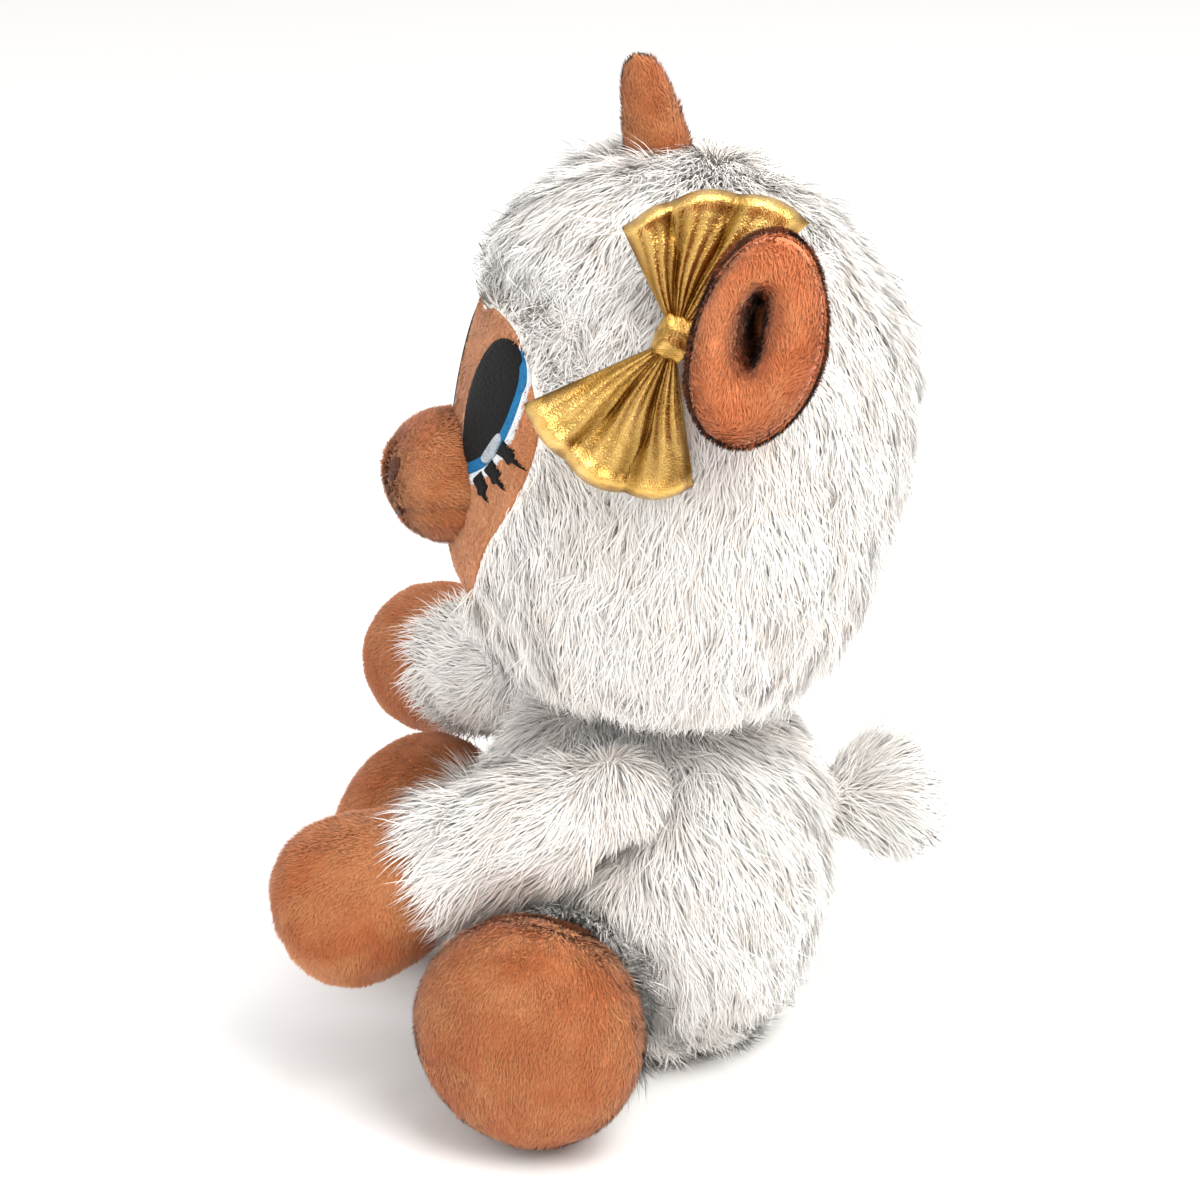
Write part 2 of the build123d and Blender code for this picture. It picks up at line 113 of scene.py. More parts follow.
class Finish:
    """A material: numbers set on its shader, and nodes made by one method."""

    def __init__(self, name, **surface):
        self.material = bpy.data.materials.new(name)
        self.material.use_nodes = True
        self.tree = self.material.node_tree
        self.shader = self.tree.nodes["Principled BSDF"]
        for socket, value in surface.items():
            self.shader.inputs[socket.replace("_", " ")].default_value = value

    def node(self, kind, settings=None, sockets=None, out=0):
        made = self.tree.nodes.new(kind)
        for setting, value in (settings or {}).items():
            if setting == "stops":
                ramp = made.color_ramp.elements
                while len(ramp) < len(value):
                    ramp.new(0.5)
                for stop, (place, colour) in zip(ramp, value):
                    stop.position, stop.color = place, (*colour, 1)
            else:
                setattr(made, setting, value)
        for socket, value in (sockets or {}).items():
            if isinstance(value, Wire):
                self.tree.links.new(value.socket, made.inputs[socket])
            else:
                made.inputs[socket].default_value = value
        return Wire(self, made.outputs[out])

    def place(self):
        return self.node("ShaderNodeTexCoord", out="Object")

    def noise(self, size, detail=2.0, distortion=0.0, where=None):
        """Soft random patches about size metres across, 0 to 1."""
        return self.node("ShaderNodeTexNoise", {}, {
            "Vector": where or self.place(), "Scale": 1 / size, "Detail": detail, "Distortion": distortion})

    def mix(self, share, first, second, blend="MIX"):
        """Colour between two others by a share from 0 to 1."""
        return self.node("ShaderNodeMix", {"data_type": "RGBA", "blend_type": blend},
                         {0: share, 6: first, 7: second}, out=2)

    def feed(self, socket, wire):
        self.tree.links.new(wire.socket, self.shader.inputs[socket])

    def raise_by(self, height, distance, strength=1.0):
        """Bump of that height in metres, fed to the normal."""
        self.feed("Normal", self.node("ShaderNodeBump", {}, {
            "Height": height, "Distance": distance, "Strength": strength}))


def dyed(red, green, blue):
    """A colour as seen, 0 to 255, in the linear numbers that shaders use."""
    parts = [c / 255 for c in (red, green, blue)]
    return tuple(c / 12.92 if c < 0.04 else ((c + 0.055) / 1.055) ** 2.4 for c in parts) + (1,)


floor_finish = Finish("pale floor", Roughness=0.7)
floor_tint = floor_finish.mix(floor_finish.noise(0.4), dyed(244, 244, 243), dyed(248, 248, 248))
floor_finish.feed("Base Color", floor_tint)
floor_mesh = bpy.data.meshes.new("floor")
half_floor = 6.0
floor_mesh.from_pydata([(-half_floor, -half_floor, 0), (half_floor, -half_floor, 0),
                        (half_floor, half_floor, 0), (-half_floor, half_floor, 0)], [], [(0, 1, 2, 3)])
floor_mesh.materials.append(floor_finish.material)
floor = bpy.data.objects.new("floor", floor_mesh)
bpy.context.scene.collection.objects.link(floor)

sky = bpy.data.worlds.new("studio")
sky.use_nodes = True
sky.node_tree.nodes["Background"].inputs["Color"].default_value = (1.0, 0.985, 0.965, 1)
sky.node_tree.nodes["Background"].inputs["Strength"].default_value = 0.85
bpy.context.scene.world = sky

# ------------------------------------------------------------------------------------------------
# Filling and pellets. Loose polyester fibre in every stuffed piece, and a small bag of pellets low
# in the seat. They are closed inside the covers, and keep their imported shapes.

fibre = Finish("fibre filling", Roughness=0.95)
wool = fibre.noise(0.004, detail=6, distortion=0.6)
fibre.feed("Base Color", fibre.mix(wool, dyed(226, 226, 222), dyed(250, 250, 248)))
fibre.raise_by(wool, 0.0012)
lining = Finish("pouch lining", Roughness=0.9)
threads = lining.noise(0.0009, detail=3)
lining.feed("Base Color", lining.mix(threads, dyed(206, 202, 192), dyed(228, 224, 214)))
lining.raise_by(threads, 0.0002)
beads = Finish("pellets", Roughness=0.5)
bead_dome_and_shade = beads.node("ShaderNodeTexVoronoi", {}, {"Vector": beads.place(), "Scale": 330.0})
# Painted shade: each pellet is pale at its middle and darker towards its edge, where it meets the next; the
# same pattern raises the domes.
beads.feed("Base Color", beads.mix(bead_dome_and_shade, dyed(240, 240, 236), dyed(170, 170, 166)))
beads.raise_by(1 - bead_dome_and_shade, 0.0015)
for node, thing in frame["nodes"].items():
    inner = {"pellet_pouch": lining, "pellet_fill": beads}.get(node, fibre)
    if node.endswith("_filling") or node.startswith("pellet_"):
        thing.data.materials.clear()
        thing.data.materials.append(inner.material)

# ------------------------------------------------------------------------------------------------
# Torso. A bag of white long-pile cloth, stuffed until it swells between its seams, flat where it
# sits. The neck is sewn to it as a round stump inside the head. The pile is combed down and back.


def shown(name, mesh, finish):
    """A new smooth-shaded piece in the row frame."""
    mesh.materials.clear()
    mesh.materials.append(finish.material)
    mesh.shade_smooth()
    piece = bpy.data.objects.new(name, mesh)
    bpy.context.scene.collection.objects.link(piece)
    return piece


def flattened(piece):
    """The piece's mesh with its modifiers applied, the modifiers taken off."""
    bpy.context.view_layer.update()
    shape = piece.evaluated_get(bpy.context.evaluated_depsgraph_get())
    mesh = bpy.data.meshes.new_from_object(shape)
    piece.modifiers.clear()
    old, piece.data = piece.data, mesh
    bpy.data.meshes.remove(old)
    mesh.shade_smooth()
    return piece


def corners(mesh):
    places = np.zeros(len(mesh.vertices) * 3)
    mesh.vertices.foreach_get("co", places)
    return places.reshape(-1, 3)


def outward(mesh):
    """Unit normals at the mesh's points."""
    normals = np.zeros(len(mesh.vertices) * 3)
    mesh.vertex_normals.foreach_get("vector", normals)
    return normals.reshape(-1, 3)


def moved(mesh, places):
    mesh.vertices.foreach_set("co", np.asarray(places, float).ravel())
    mesh.update()


def made_mesh(name, points, faces):
    mesh = bpy.data.meshes.new(name)
    mesh.from_pydata([tuple(spot) for spot in points], [], faces)
    return mesh


def facing_out(mesh, weld=0.0):
    """Joins points closer than weld and turns every face of a closed mesh outwards."""
    fixing = bmesh.new()
    fixing.from_mesh(mesh)
    if weld:
        bmesh.ops.remove_doubles(fixing, verts=fixing.verts, dist=weld)
    bmesh.ops.recalc_face_normals(fixing, faces=fixing.faces[:])
    fixing.to_mesh(mesh)
    fixing.free()


def swollen(piece, held, cap):
    """Cloth pushed out by its filling: pressure with no gravity, held at the seams, then capped."""
    start = corners(piece.data)
    group = piece.vertex_groups.new(name="seam")
    for index in np.flatnonzero(held):
        group.add([int(index)], 1.0, "REPLACE")
    cloth = piece.modifiers.new("stuffing", "CLOTH")
    cloth.settings.quality = 6
    cloth.settings.use_pressure = True
    cloth.settings.uniform_pressure_force = 4.0
    cloth.settings.effector_weights.gravity = 0.0
    cloth.settings.vertex_group_mass = "seam"
    cloth.point_cache.frame_start, cloth.point_cache.frame_end = 1, 20
    for step in range(1, 21):
        bpy.context.scene.frame_set(step)
        bpy.context.view_layer.update()
    shape = piece.evaluated_get(bpy.context.evaluated_depsgraph_get())
    pushed = corners(shape.data) - start
    piece.modifiers.clear()
    piece.vertex_groups.clear()
    far = np.linalg.norm(pushed, axis=1, keepdims=True)
    moved(piece.data, start + pushed * np.minimum(1, cap / np.maximum(far, 1e-9)))
    bpy.context.scene.frame_set(1)


def stuffed(name, node, finish, voxel, grow, seams=None, groove=1.4 * MM, seam_width=2.2 * MM, swell=2 * MM,
            turn=None):
    """A skin over a packed filling: remeshed, swollen between its seams, grown and smoothed.

    seams takes points and returns each one's distance to the nearest seam, in metres. turn is put on the
    filling first.
    """
    mesh = frame["nodes"][node].data.copy()
    if turn:
        mesh.transform(turn)
    loose = bmesh.new()
    loose.from_mesh(mesh)
    bmesh.ops.remove_doubles(loose, verts=loose.verts, dist=1e-5)
    loose.to_mesh(mesh)
    loose.free()
    piece = shown(name, mesh, finish)
    remesh = piece.modifiers.new("even mesh", "REMESH")
    remesh.mode, remesh.voxel_size = "VOXEL", voxel
    flattened(piece)
    sewn = seams(corners(piece.data)) < voxel * 0.8 if seams else np.zeros(len(piece.data.vertices), bool)
    swollen(piece, sewn, swell)
    softer = piece.modifiers.new("softer", "SMOOTH")
    softer.factor, softer.iterations = 0.5, 4
    finer = piece.modifiers.new("finer", "SUBSURF")
    finer.levels = finer.render_levels = 1
    flattened(piece)
    places = corners(piece.data) + outward(piece.data) * (grow - ((swell * 0.6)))
    if seams:
        near = np.exp(-(seams(places) / seam_width) ** 2)[:, None]
        places = places - outward(piece.data) * near * groove
    moved(piece.data, places)
    piece.data.materials.clear()
    piece.data.materials.append(finish.material)
    return piece


def coat_tree(name, strand):
    """Geometry Nodes that grow a strand at random points of a skin, combed and tousled."""
    tree = bpy.data.node_groups.new(name, "GeometryNodeTree")
    tree.interface.new_socket("Skin", in_out="INPUT", socket_type="NodeSocketGeometry")
    kinds = dict.fromkeys(("Per square metre", "Length", "Width", "Comb", "Tousle", "Lock size"), "Float")
    for label, kind in {**kinds, "Seed": "Int", "Finish": "Material"}.items():
        tree.interface.new_socket(label, in_out="INPUT", socket_type=f"NodeSocket{kind}")
    tree.interface.new_socket("Coat", in_out="OUTPUT", socket_type="NodeSocketGeometry")
    take = tree.nodes.new("NodeGroupInput").outputs

    def add(kind, settings=None, sockets=None):
        node = tree.nodes.new(kind)
        for setting, value in (settings or {}).items():
            setattr(node, setting, value)
        for socket, value in (sockets or {}).items():
            if isinstance(value, bpy.types.NodeSocket):
                tree.links.new(value, node.inputs[socket])
            else:
                node.inputs[socket].default_value = value
        return node.outputs

    def vectors(operation, first, second, scale=None):
        sockets = {0: first, 1: second} if scale is None else {0: first, "Scale": scale}
        return add("ShaderNodeVectorMath", {"operation": operation}, sockets)[0]

    def numbers(operation, first, second):
        return add("ShaderNodeMath", {"operation": operation}, {0: first, 1: second})[0]

    def attribute(label, kind="FLOAT"):
        return add("GeometryNodeInputNamedAttribute", {"data_type": kind}, {"Name": label})[0]

    def chance(low, high, seed):
        return add("FunctionNodeRandomValue", {"data_type": "FLOAT"}, {2: low, 3: high, "Seed": seed})[1]

    density = numbers("MULTIPLY", take["Per square metre"], attribute("cover"))
    points = add("GeometryNodeDistributePointsOnFaces", {}, {
        "Mesh": take["Skin"], "Density": density, "Seed": take["Seed"]})
    normal = points["Normal"]
    where = add("GeometryNodeInputPosition")[0]

    def lean_of(size_factor, seed_shift):
        scale = numbers("DIVIDE", size_factor, take["Lock size"])
        texture = add("ShaderNodeTexNoise", {"noise_dimensions": "4D"}, {
            "Vector": where, "W": seed_shift, "Scale": scale, "Detail": 1.0})
        return vectors("SUBTRACT", texture["Color"], (0.5, 0.5, 0.5))

    lock = vectors("ADD", lean_of(1.0, 0.0), vectors("SCALE", lean_of(3.3, 5.0), None, 0.5))
    lock = vectors("SCALE", lock, None, take["Tousle"])
    stray = add("FunctionNodeRandomValue", {"data_type": "FLOAT_VECTOR"}, {
        0: (-0.16, -0.16, -0.16), 1: (0.16, 0.16, 0.16), "Seed": 3})[0]
    combed = vectors("SCALE", attribute("comb", "FLOAT_VECTOR"), None, take["Comb"])
    way = vectors("ADD", vectors("ADD", normal, combed), vectors("ADD", lock, stray))
    way = add("ShaderNodeVectorMath", {"operation": "NORMALIZE"}, {0: way})[0]
    bend = vectors("ADD", vectors("ADD", combed, lock), vectors("SCALE", stray, None, 2.0))
    turn = add("FunctionNodeAxesToRotation", {"primary_axis": "Z", "secondary_axis": "X"}, {
        0: way, 1: bend})[0]
    tall = numbers("MULTIPLY", chance(0.62, 1.12, 7), attribute("length_share"))
    tall = numbers("MULTIPLY", take["Length"], tall)
    wide = numbers("MULTIPLY", take["Width"], chance(0.7, 1.3, 11))
    size = add("ShaderNodeCombineXYZ", {}, {0: tall, 1: wide, 2: tall})[0]
    blade = add("GeometryNodeObjectInfo", {}, {"Object": strand})["Geometry"]
    grown = add("GeometryNodeInstanceOnPoints", {}, {
        "Points": points["Points"], "Instance": blade, "Rotation": turn, "Scale": size})[0]
    keep = add("GeometryNodeStoreNamedAttribute", {"data_type": "FLOAT_VECTOR", "domain": "INSTANCE"}, {
        "Geometry": grown, "Name": "skin_normal", "Value": attribute("skin_way", "FLOAT_VECTOR")})[0]
    keep = add("GeometryNodeStoreNamedAttribute", {"data_type": "FLOAT", "domain": "INSTANCE"}, {
        "Geometry": keep, "Name": "tint", "Value": chance(0.0, 1.0, 17)})[0]
    real = add("GeometryNodeRealizeInstances", {}, {0: keep})[0]
    dressed = add("GeometryNodeSetMaterial", {}, {"Geometry": real, "Material": take["Finish"]})[0]
    out = tree.nodes.new("NodeGroupOutput")
    tree.links.new(dressed, out.inputs[0])
    return tree


def blade(name, levels, bend):
    """One strand, a unit tall: a tapering strip that bends towards +X as it rises."""
    points, along = [], []
    for level in range(levels):
        share = level / levels
        half = 0.5 * (1 - share ** 1.6)
        for side in (-half, half):
            points.append((bend * share ** 2, side, share * (1 - 0.25 * bend * share)))
            along.append(share)
    points.append((bend, 0, 1 - 0.25 * bend))
    along.append(1.0)
    faces = [(2 * k, 2 * k + 1, 2 * k + 3, 2 * k + 2) for k in range(levels - 1)]
    faces.append((2 * levels - 2, 2 * levels - 1, 2 * levels))
    mesh = made_mesh(name, points, faces)
    mesh.attributes.new("along", "FLOAT", "POINT").data.foreach_set("value", along)
    strand = bpy.data.objects.new(name, mesh)
    bpy.context.scene.collection.objects.link(strand)
    strand.hide_render = True
    return strand


long_strand = blade("long_strand", levels=3, bend=0.6)
short_strand = blade("short_strand", levels=1, bend=0.35)
long_pile = coat_tree("long pile", long_strand)
short_pile = coat_tree("short pile", short_strand)


def set_field(mesh, name, kind, values):
    field = mesh.attributes.get(name) or mesh.attributes.new(name, kind, "POINT")
    field.data.foreach_set("vector" if kind == "FLOAT_VECTOR" else "value", np.asarray(values, float).ravel())


def coat(name, skin, tree, finish, parts=1, comb=None, cover=None, length_share=None, **wanted):
    """Grows the pile on a skin, as one or more pieces, each strand in its own cell of a UV map."""
    mesh = skin.data
    places, normals = corners(mesh), outward(mesh)
    ways = comb(places, normals) if comb else np.tile((0, 0, -1.0), (len(places), 1))
    firm = np.minimum(1, np.linalg.norm(ways, axis=1, keepdims=True))
    ways = ways - normals * np.sum(ways * normals, axis=1, keepdims=True)
    ways = firm * ways / np.maximum(np.linalg.norm(ways, axis=1, keepdims=True), 1e-6)
    set_field(mesh, "comb", "FLOAT_VECTOR", ways)
    set_field(mesh, "skin_way", "FLOAT_VECTOR", normals)
    set_field(mesh, "cover", "FLOAT", cover(places) if cover else np.ones(len(places)))
    set_field(mesh, "length_share", "FLOAT", length_share(places) if length_share else np.ones(len(places)))
    names = {item.name: item.identifier for item in tree.interface.items_tree if item.in_out == "INPUT"}
    grown = []
    for part in range(parts):
        holder = bpy.data.objects.new("holder", mesh)
        bpy.context.scene.collection.objects.link(holder)
        growth = holder.modifiers.new("pile", "NODES")
        growth.node_group = tree
        values = dict(wanted)
        values["Per square metre"] = wanted["Per square metre"] / parts * 1
        for label, value in values.items():
            growth[names[label]] = value
        growth[names["Seed"]] = 11 + 7 * part
        growth[names["Finish"]] = finish.material
        bpy.context.view_layer.update()
        hair = bpy.data.meshes.new_from_object(holder.evaluated_get(bpy.context.evaluated_depsgraph_get()))
        bpy.data.objects.remove(holder)
        ends = corners(hair)
        ends[:, 2] = np.maximum(ends[:, 2], 0.3 * MM)  # the pile lies on the floor
        moved(hair, ends)
        points = len(long_strand.data.vertices if tree == long_pile else short_strand.data.vertices)
        count = len(hair.vertices) // points
        across = math.ceil(math.sqrt(max(1, count)))
        loops = np.zeros(len(hair.loops), int)
        hair.loops.foreach_get("vertex_index", loops)
        strand_of, point_of = loops // points, loops % points
        along = np.zeros(len(hair.vertices))
        hair.attributes["along"].data.foreach_get("value", along)
        u = (strand_of % across + 0.2 + 0.6 * np.where(point_of % 2 == 0, 0.0, 1.0)) / across
        v = (strand_of // across + 0.15 + 0.7 * along[loops]) / across
        cells = hair.uv_layers.new(name="OFBake")
        cells.data.foreach_set("uv", np.column_stack((u, v)).ravel())
        piece = bpy.data.objects.new(name if parts == 1 else f"{name}_{part + 1}", hair)
        bpy.context.scene.collection.objects.link(piece)
        grown.append(piece)
    return grown


def lit_as_skin(pile, blade_share=0.8):
    """Shades strands mostly as the skin that they stand on, so that a coat looks soft."""
    skin = pile.node("ShaderNodeAttribute", {"attribute_name": "skin_normal"}, out="Vector")
    world = pile.node("ShaderNodeVectorTransform", {
        "vector_type": "NORMAL", "convert_from": "OBJECT", "convert_to": "WORLD"}, {0: skin})
    blade_way = pile.node("ShaderNodeNewGeometry", out="Normal")
    scaled = pile.node("ShaderNodeVectorMath", {"operation": "SCALE"}, {0: blade_way, "Scale": blade_share})
    summed = pile.node("ShaderNodeVectorMath", {"operation": "ADD"}, {0: world, 1: scaled})
    pile.feed("Normal", pile.node("ShaderNodeVectorMath", {"operation": "NORMALIZE"}, {0: summed}))


def pile_finish(name, root, tip, patch_root, patch_tip, patch_size, softness, **surface):
    """Pile whose colour runs from root to tip, varies from strand to strand and in soft patches."""
    pile = Finish(name, Roughness=0.85, **surface)
    along = pile.node("ShaderNodeAttribute", {"attribute_name": "along"}, out="Fac")
    tint = pile.node("ShaderNodeAttribute", {"attribute_name": "tint"}, out="Fac")
    patch = pile.node("ShaderNodeMapRange", {}, {0: pile.noise(patch_size, 3, 0.4), 1: 0.42, 2: 0.62})
    first = pile.mix(along, root, tip)
    second = pile.mix(along, patch_root, patch_tip)
    both = pile.mix(patch, first, second)
    pile.feed("Base Color", pile.mix(tint * softness, both, tip))
    lit_as_skin(pile)
    return pile


white_pile = pile_finish("white fur pile", root=dyed(246, 236, 224), tip=dyed(255, 254, 252),
                         patch_root=dyed(230, 214, 198), patch_tip=dyed(250, 246, 240), patch_size=0.022,
                         softness=0.5, Sheen_Weight=0.4)
white_cloth = Finish("white fur backing", Roughness=0.95)
white_cloth_patch = white_cloth.noise(0.003, 4)
white_cloth.feed("Base Color", white_cloth.mix(white_cloth_patch, dyed(238, 232, 224), dyed(250, 248, 244)))
white_cloth.raise_by(white_cloth_patch, 0.001)

fur_density = 2.1e6
fur_length, fur_width = 13.5 * MM, 0.42 * MM


def torso_seams(places):
    """The two side seams and the centre back seam of the body bag."""
    side = np.abs(places[:, 1] - 2 * MM)
    back = np.where(places[:, 1] > 0, np.abs(places[:, 0]), 1.0)
    return np.minimum(side, back)


torso_skin = stuffed("torso_skin", "torso_filling", white_cloth, voxel=4.5 * MM, grow=2.4 * MM,
                     seams=torso_seams)
seated = corners(torso_skin.data)
seated[:, 2] = np.maximum(seated[:, 2], 0.4 * MM)
moved(torso_skin.data, seated)
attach(torso_skin, "torso")
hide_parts("torso_cover")


def torso_comb(places, normals):
    """Down the body, and outwards low down so that the pile spreads on the floor."""
    down = np.tile((0, 0.25, -1.0), (len(places), 1))
    low = np.clip((0.03 - places[:, 2]) / 0.03, 0, 1)[:, None]
    outwards = places * (1, 1, 0) / np.maximum(np.linalg.norm(places[:, :2], axis=1), 1e-6)[:, None]
    return down * (1 - low) + outwards * low


def torso_cover(places):
    """No pile under the seat or inside the neck."""
    under = places[:, 2] < 1.2 * MM
    neck = places[:, 2] > 109 * MM
    return np.where(under | neck, 0.0, 1.0)


for fur in coat("torso_fur", torso_skin, long_pile, white_pile, parts=3, comb=torso_comb, cover=torso_cover,
                **{"Per square metre": fur_density, "Length": fur_length, "Width": fur_width, "Comb": 0.9,
                   "Tousle": 1.9, "Lock size": 10 * MM}):
    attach(fur, "torso")

# ------------------------------------------------------------------------------------------------
# Arms and legs. Each is one stuffed tube: a white long-pile sleeve, then a caramel short-pile end
# sewn round it at the cuff, where the longer white pile hangs over. The ends are two halves with a
# seam round their edge.


def plush_finish(name, light, middle, deep, patch_size=0.02):
    """Short velvety pile, in patches that lie one way or the other, with a soft sheen."""
    plush = Finish(name, Roughness=0.9, Sheen_Weight=0.35, Sheen_Roughness=0.4)
    nap = plush.node("ShaderNodeMapRange", {}, {0: plush.noise(patch_size, 3, 0.8), 1: 0.38, 2: 0.64})
    fibres = plush.noise(0.0009, 3, 0.3)
    lay = plush.mix(nap, middle, light)
    plush.feed("Base Color", plush.mix(fibres * 0.55, lay, deep))
    plush.raise_by(fibres, 0.0007, 0.7)
    return plush


def nap_finish(name, light, middle, deep, patch_size=0.02):
    """The strands of the same pile: deep at the root, paler at the tip."""
    nap = Finish(name, Roughness=0.85, Sheen_Weight=0.2)
    along = nap.node("ShaderNodeAttribute", {"attribute_name": "along"}, out="Fac")
    tint = nap.node("ShaderNodeAttribute", {"attribute_name": "tint"}, out="Fac")
    patch = nap.node("ShaderNodeMapRange", {}, {0: nap.noise(patch_size, 3, 0.8), 1: 0.38, 2: 0.64})
    lay = nap.mix(patch, middle, light)
    nap.feed("Base Color", nap.mix(along * 0.6 + tint * 0.35, deep, lay))
    lit_as_skin(nap)
    return nap


caramel = (dyed(214, 146, 94), dyed(194, 110, 60), dyed(156, 82, 40))
rust = (dyed(232, 152, 100), dyed(218, 122, 70), dyed(184, 94, 50))
peach = (dyed(222, 158, 112), dyed(212, 140, 92), dyed(180, 108, 66))
caramel_skin, caramel_nap = plush_finish("caramel plush", *caramel), nap_finish("caramel nap", *caramel)
rust_skin, rust_nap = plush_finish("ear plush", *rust), nap_finish("ear nap", *rust)
peach_skin, peach_nap = plush_finish("face plush", *peach), nap_finish("face nap", *peach)
nap_wanted = {"Per square metre": 3.5e6, "Length": 2.3 * MM, "Width": 0.5 * MM, "Comb": 0.9, "Tousle": 1.5,
              "Lock size": 9 * MM}
white_wanted = {"Per square metre": fur_density, "Length": fur_length, "Width": fur_width, "Comb": 0.9,
                "Tousle": 1.9, "Lock size": 9.5 * MM}
hinges = {joint["name"]: joint for joint in frame["record"]["behaviour"]["joints"]}


def limb_axes(azimuth, drop):
    """Rows: unit directions out along a limb, across it and up from it."""
    turn, fall = math.radians(azimuth), math.radians(drop)
    out = Vector((math.cos(fall) * math.sin(turn), -math.cos(fall) * math.cos(turn), -math.sin(fall)))
    across = Vector((math.cos(turn), math.sin(turn), 0))
    return np.array([out, across, out.cross(across)])


def half_of(piece, name, point, way, finish):
    """The part of a closed skin ahead of a plane, closed again across the cut."""
    cut = bmesh.new()
    cut.from_mesh(piece.data)
    everything = cut.verts[:] + cut.edges[:] + cut.faces[:]
    made = bmesh.ops.bisect_plane(cut, geom=everything, plane_co=point, plane_no=way, clear_inner=True)
    rim = [edge for edge in made["geom_cut"] if isinstance(edge, bmesh.types.BMEdge)]
    bmesh.ops.holes_fill(cut, edges=rim)
    for edge in rim:
        edge.smooth = False
    bmesh.ops.recalc_face_normals(cut, faces=cut.faces[:])
    mesh = bpy.data.meshes.new(name)
    cut.to_mesh(mesh)
    cut.free()
    return shown(name, mesh, finish)


def two_halves(limb, azimuth, drop, joint, cuff, end_name, voxel, end_seam):
    """Builds one arm or leg: sleeve and end, with their pile."""
    axes = limb_axes(azimuth, drop)
    pivot = np.array(hinges[joint]["pos_m"])

    def local(places):
        return (places - pivot) @ axes.T

    def seams(places):
        out, across, up = local(places).T
        seam = np.abs(across) if end_seam is None else np.abs(out - end_seam)
        return np.where(out > cuff - 1 * MM, seam, 1.0)

    tube = stuffed("tube", f"{limb}_filling", caramel_skin, voxel, 2.3 * MM, seams, groove=0.5 * MM,
                   seam_width=1.7 * MM, swell=1.2 * MM)
    cut_at = Vector(pivot + axes[0] * cuff)
    out = Vector(axes[0])
    sleeve = half_of(tube, f"{limb}_skin", cut_at, -out, white_cloth)
    end = half_of(tube, f"{end_name}_skin", cut_at + out * 0.3 * MM, out, caramel_skin)
    bpy.data.objects.remove(tube)

    def sleeve_comb(places, normals):
        """Down at the shoulder, then out along the limb; more upright on the short leg sleeves."""
        root = np.clip(1 - local(places)[:, :1] / (16 * MM), 0, 1)
        if end_seam is not None:
            root = np.full_like(root, 0.3)
        return (1 - root) * (axes[0] + np.array((0, 0, -0.35))) + root * np.array((0, 0.2, -1.0))

    def sleeve_cover(places):
        along = local(places)[:, 0]
        return np.where((along > cuff - 0.4 * MM) | (places[:, 2] < 4 * MM), 0.0, 1.0)

    def sleeve_length(places):
        """Lies flat at the shoulder or hip, fullest at the cuff."""
        return np.clip(0.75 + 0.45 * local(places)[:, 0] / cuff, 0.55, 1.2)

    def end_cover(places):
        return np.where((local(places)[:, 0] < cuff + 0.8 * MM) | (places[:, 2] < 1.5 * MM), 0.0, 1.0)

    def end_comb(places, normals):
        return np.tile(axes[0] * 0.6 + np.array((0, 0, -1.0)), (len(places), 1))

    for piece, cad, slot_name in ((sleeve, f"{limb}_sleeve", "white_fur"), (end, end_name, "caramel_plush")):
        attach(piece, limb)
        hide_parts(cad)
    pile = coat(f"{limb}_fur", sleeve, long_pile, white_pile, comb=sleeve_comb, cover=sleeve_cover,
                length_share=sleeve_length, **white_wanted)
    nap = coat(f"{end_name}_nap", end, short_pile, caramel_nap, comb=end_comb, cover=end_cover, **nap_wanted)
    for fur in pile + nap:
        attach(fur, limb)


cuff_on_arm, cuff_on_leg = 54 * MM, 20 * MM
two_halves("arm_left", -20, 25.5, "arm_left_lift", cuff_on_arm, "hand_left", 3.2 * MM, None)
two_halves("arm_right", -80, 14, "arm_right_lift", cuff_on_arm, "hand_right", 3.2 * MM, None)
two_halves("leg_left", 52, 0, "leg_left_lift", cuff_on_leg, "foot_left", 3.6 * MM, 40 * MM)
two_halves("leg_right", -52, 0, "leg_right_lift", cuff_on_leg, "foot_right", 3.6 * MM, 40 * MM)

# ------------------------------------------------------------------------------------------------
# Tail. A short stuffed stub of white cloth whose pile is longer than the body's and fans outwards.

tail_root = np.array(hinges["tail_swing"]["pos_m"])
tail_skin = stuffed("tail_skin", "tail_filling", white_cloth, voxel=2.6 * MM, grow=0.4 * MM, swell=0.8 * MM)
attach(tail_skin, "tail")
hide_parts("tail_cover")


def tail_comb(places, normals):
    spread = places - tail_root
    return spread / np.linalg.norm(spread, axis=1, keepdims=True) + np.array((0, 0.5, -0.7))


def tail_cover(places):
    return np.where(places[:, 1] < tail_root[1] + 3 * MM, 0.0, 1.0)


for fur in coat("tail_fur", tail_skin, long_pile, white_pile, comb=tail_comb, cover=tail_cover,
                **{**white_wanted, "Per square metre": 2.8e6, "Length": 18 * MM, "Comb": 0.8}):
    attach(fur, "tail")

# ------------------------------------------------------------------------------------------------
# Head. A big round ball of the white cloth with a seam over the crown from ear to ear. Its pile runs
# down from the crown, over the edge of the face, and stands up in a tuft along the crown seam.

# The head is built facing -Y, like the body, and then turned about the neck.
neck = Vector(hinges["head_nod"]["pos_m"])
head_place = Matrix.Translation(neck) @ Matrix.Rotation(math.radians(-8), 4, "Z") @ Matrix.Translation(-neck)
head_unturned = head_place.inverted()
crown = np.array((0, 18, 262)) * MM
head_heart = np.array((0, 10, 188)) * MM
face_middle, face_wide, face_tall = 179 * MM, 46 * MM, 44 * MM


def head_box(node):
    """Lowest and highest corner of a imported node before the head's turn."""
    places = corners(frame["nodes"][node].data) @ np.array(head_unturned.to_3x3()).T
    places = places + np.array(head_unturned.translation)
    return places.min(axis=0), places.max(axis=0)


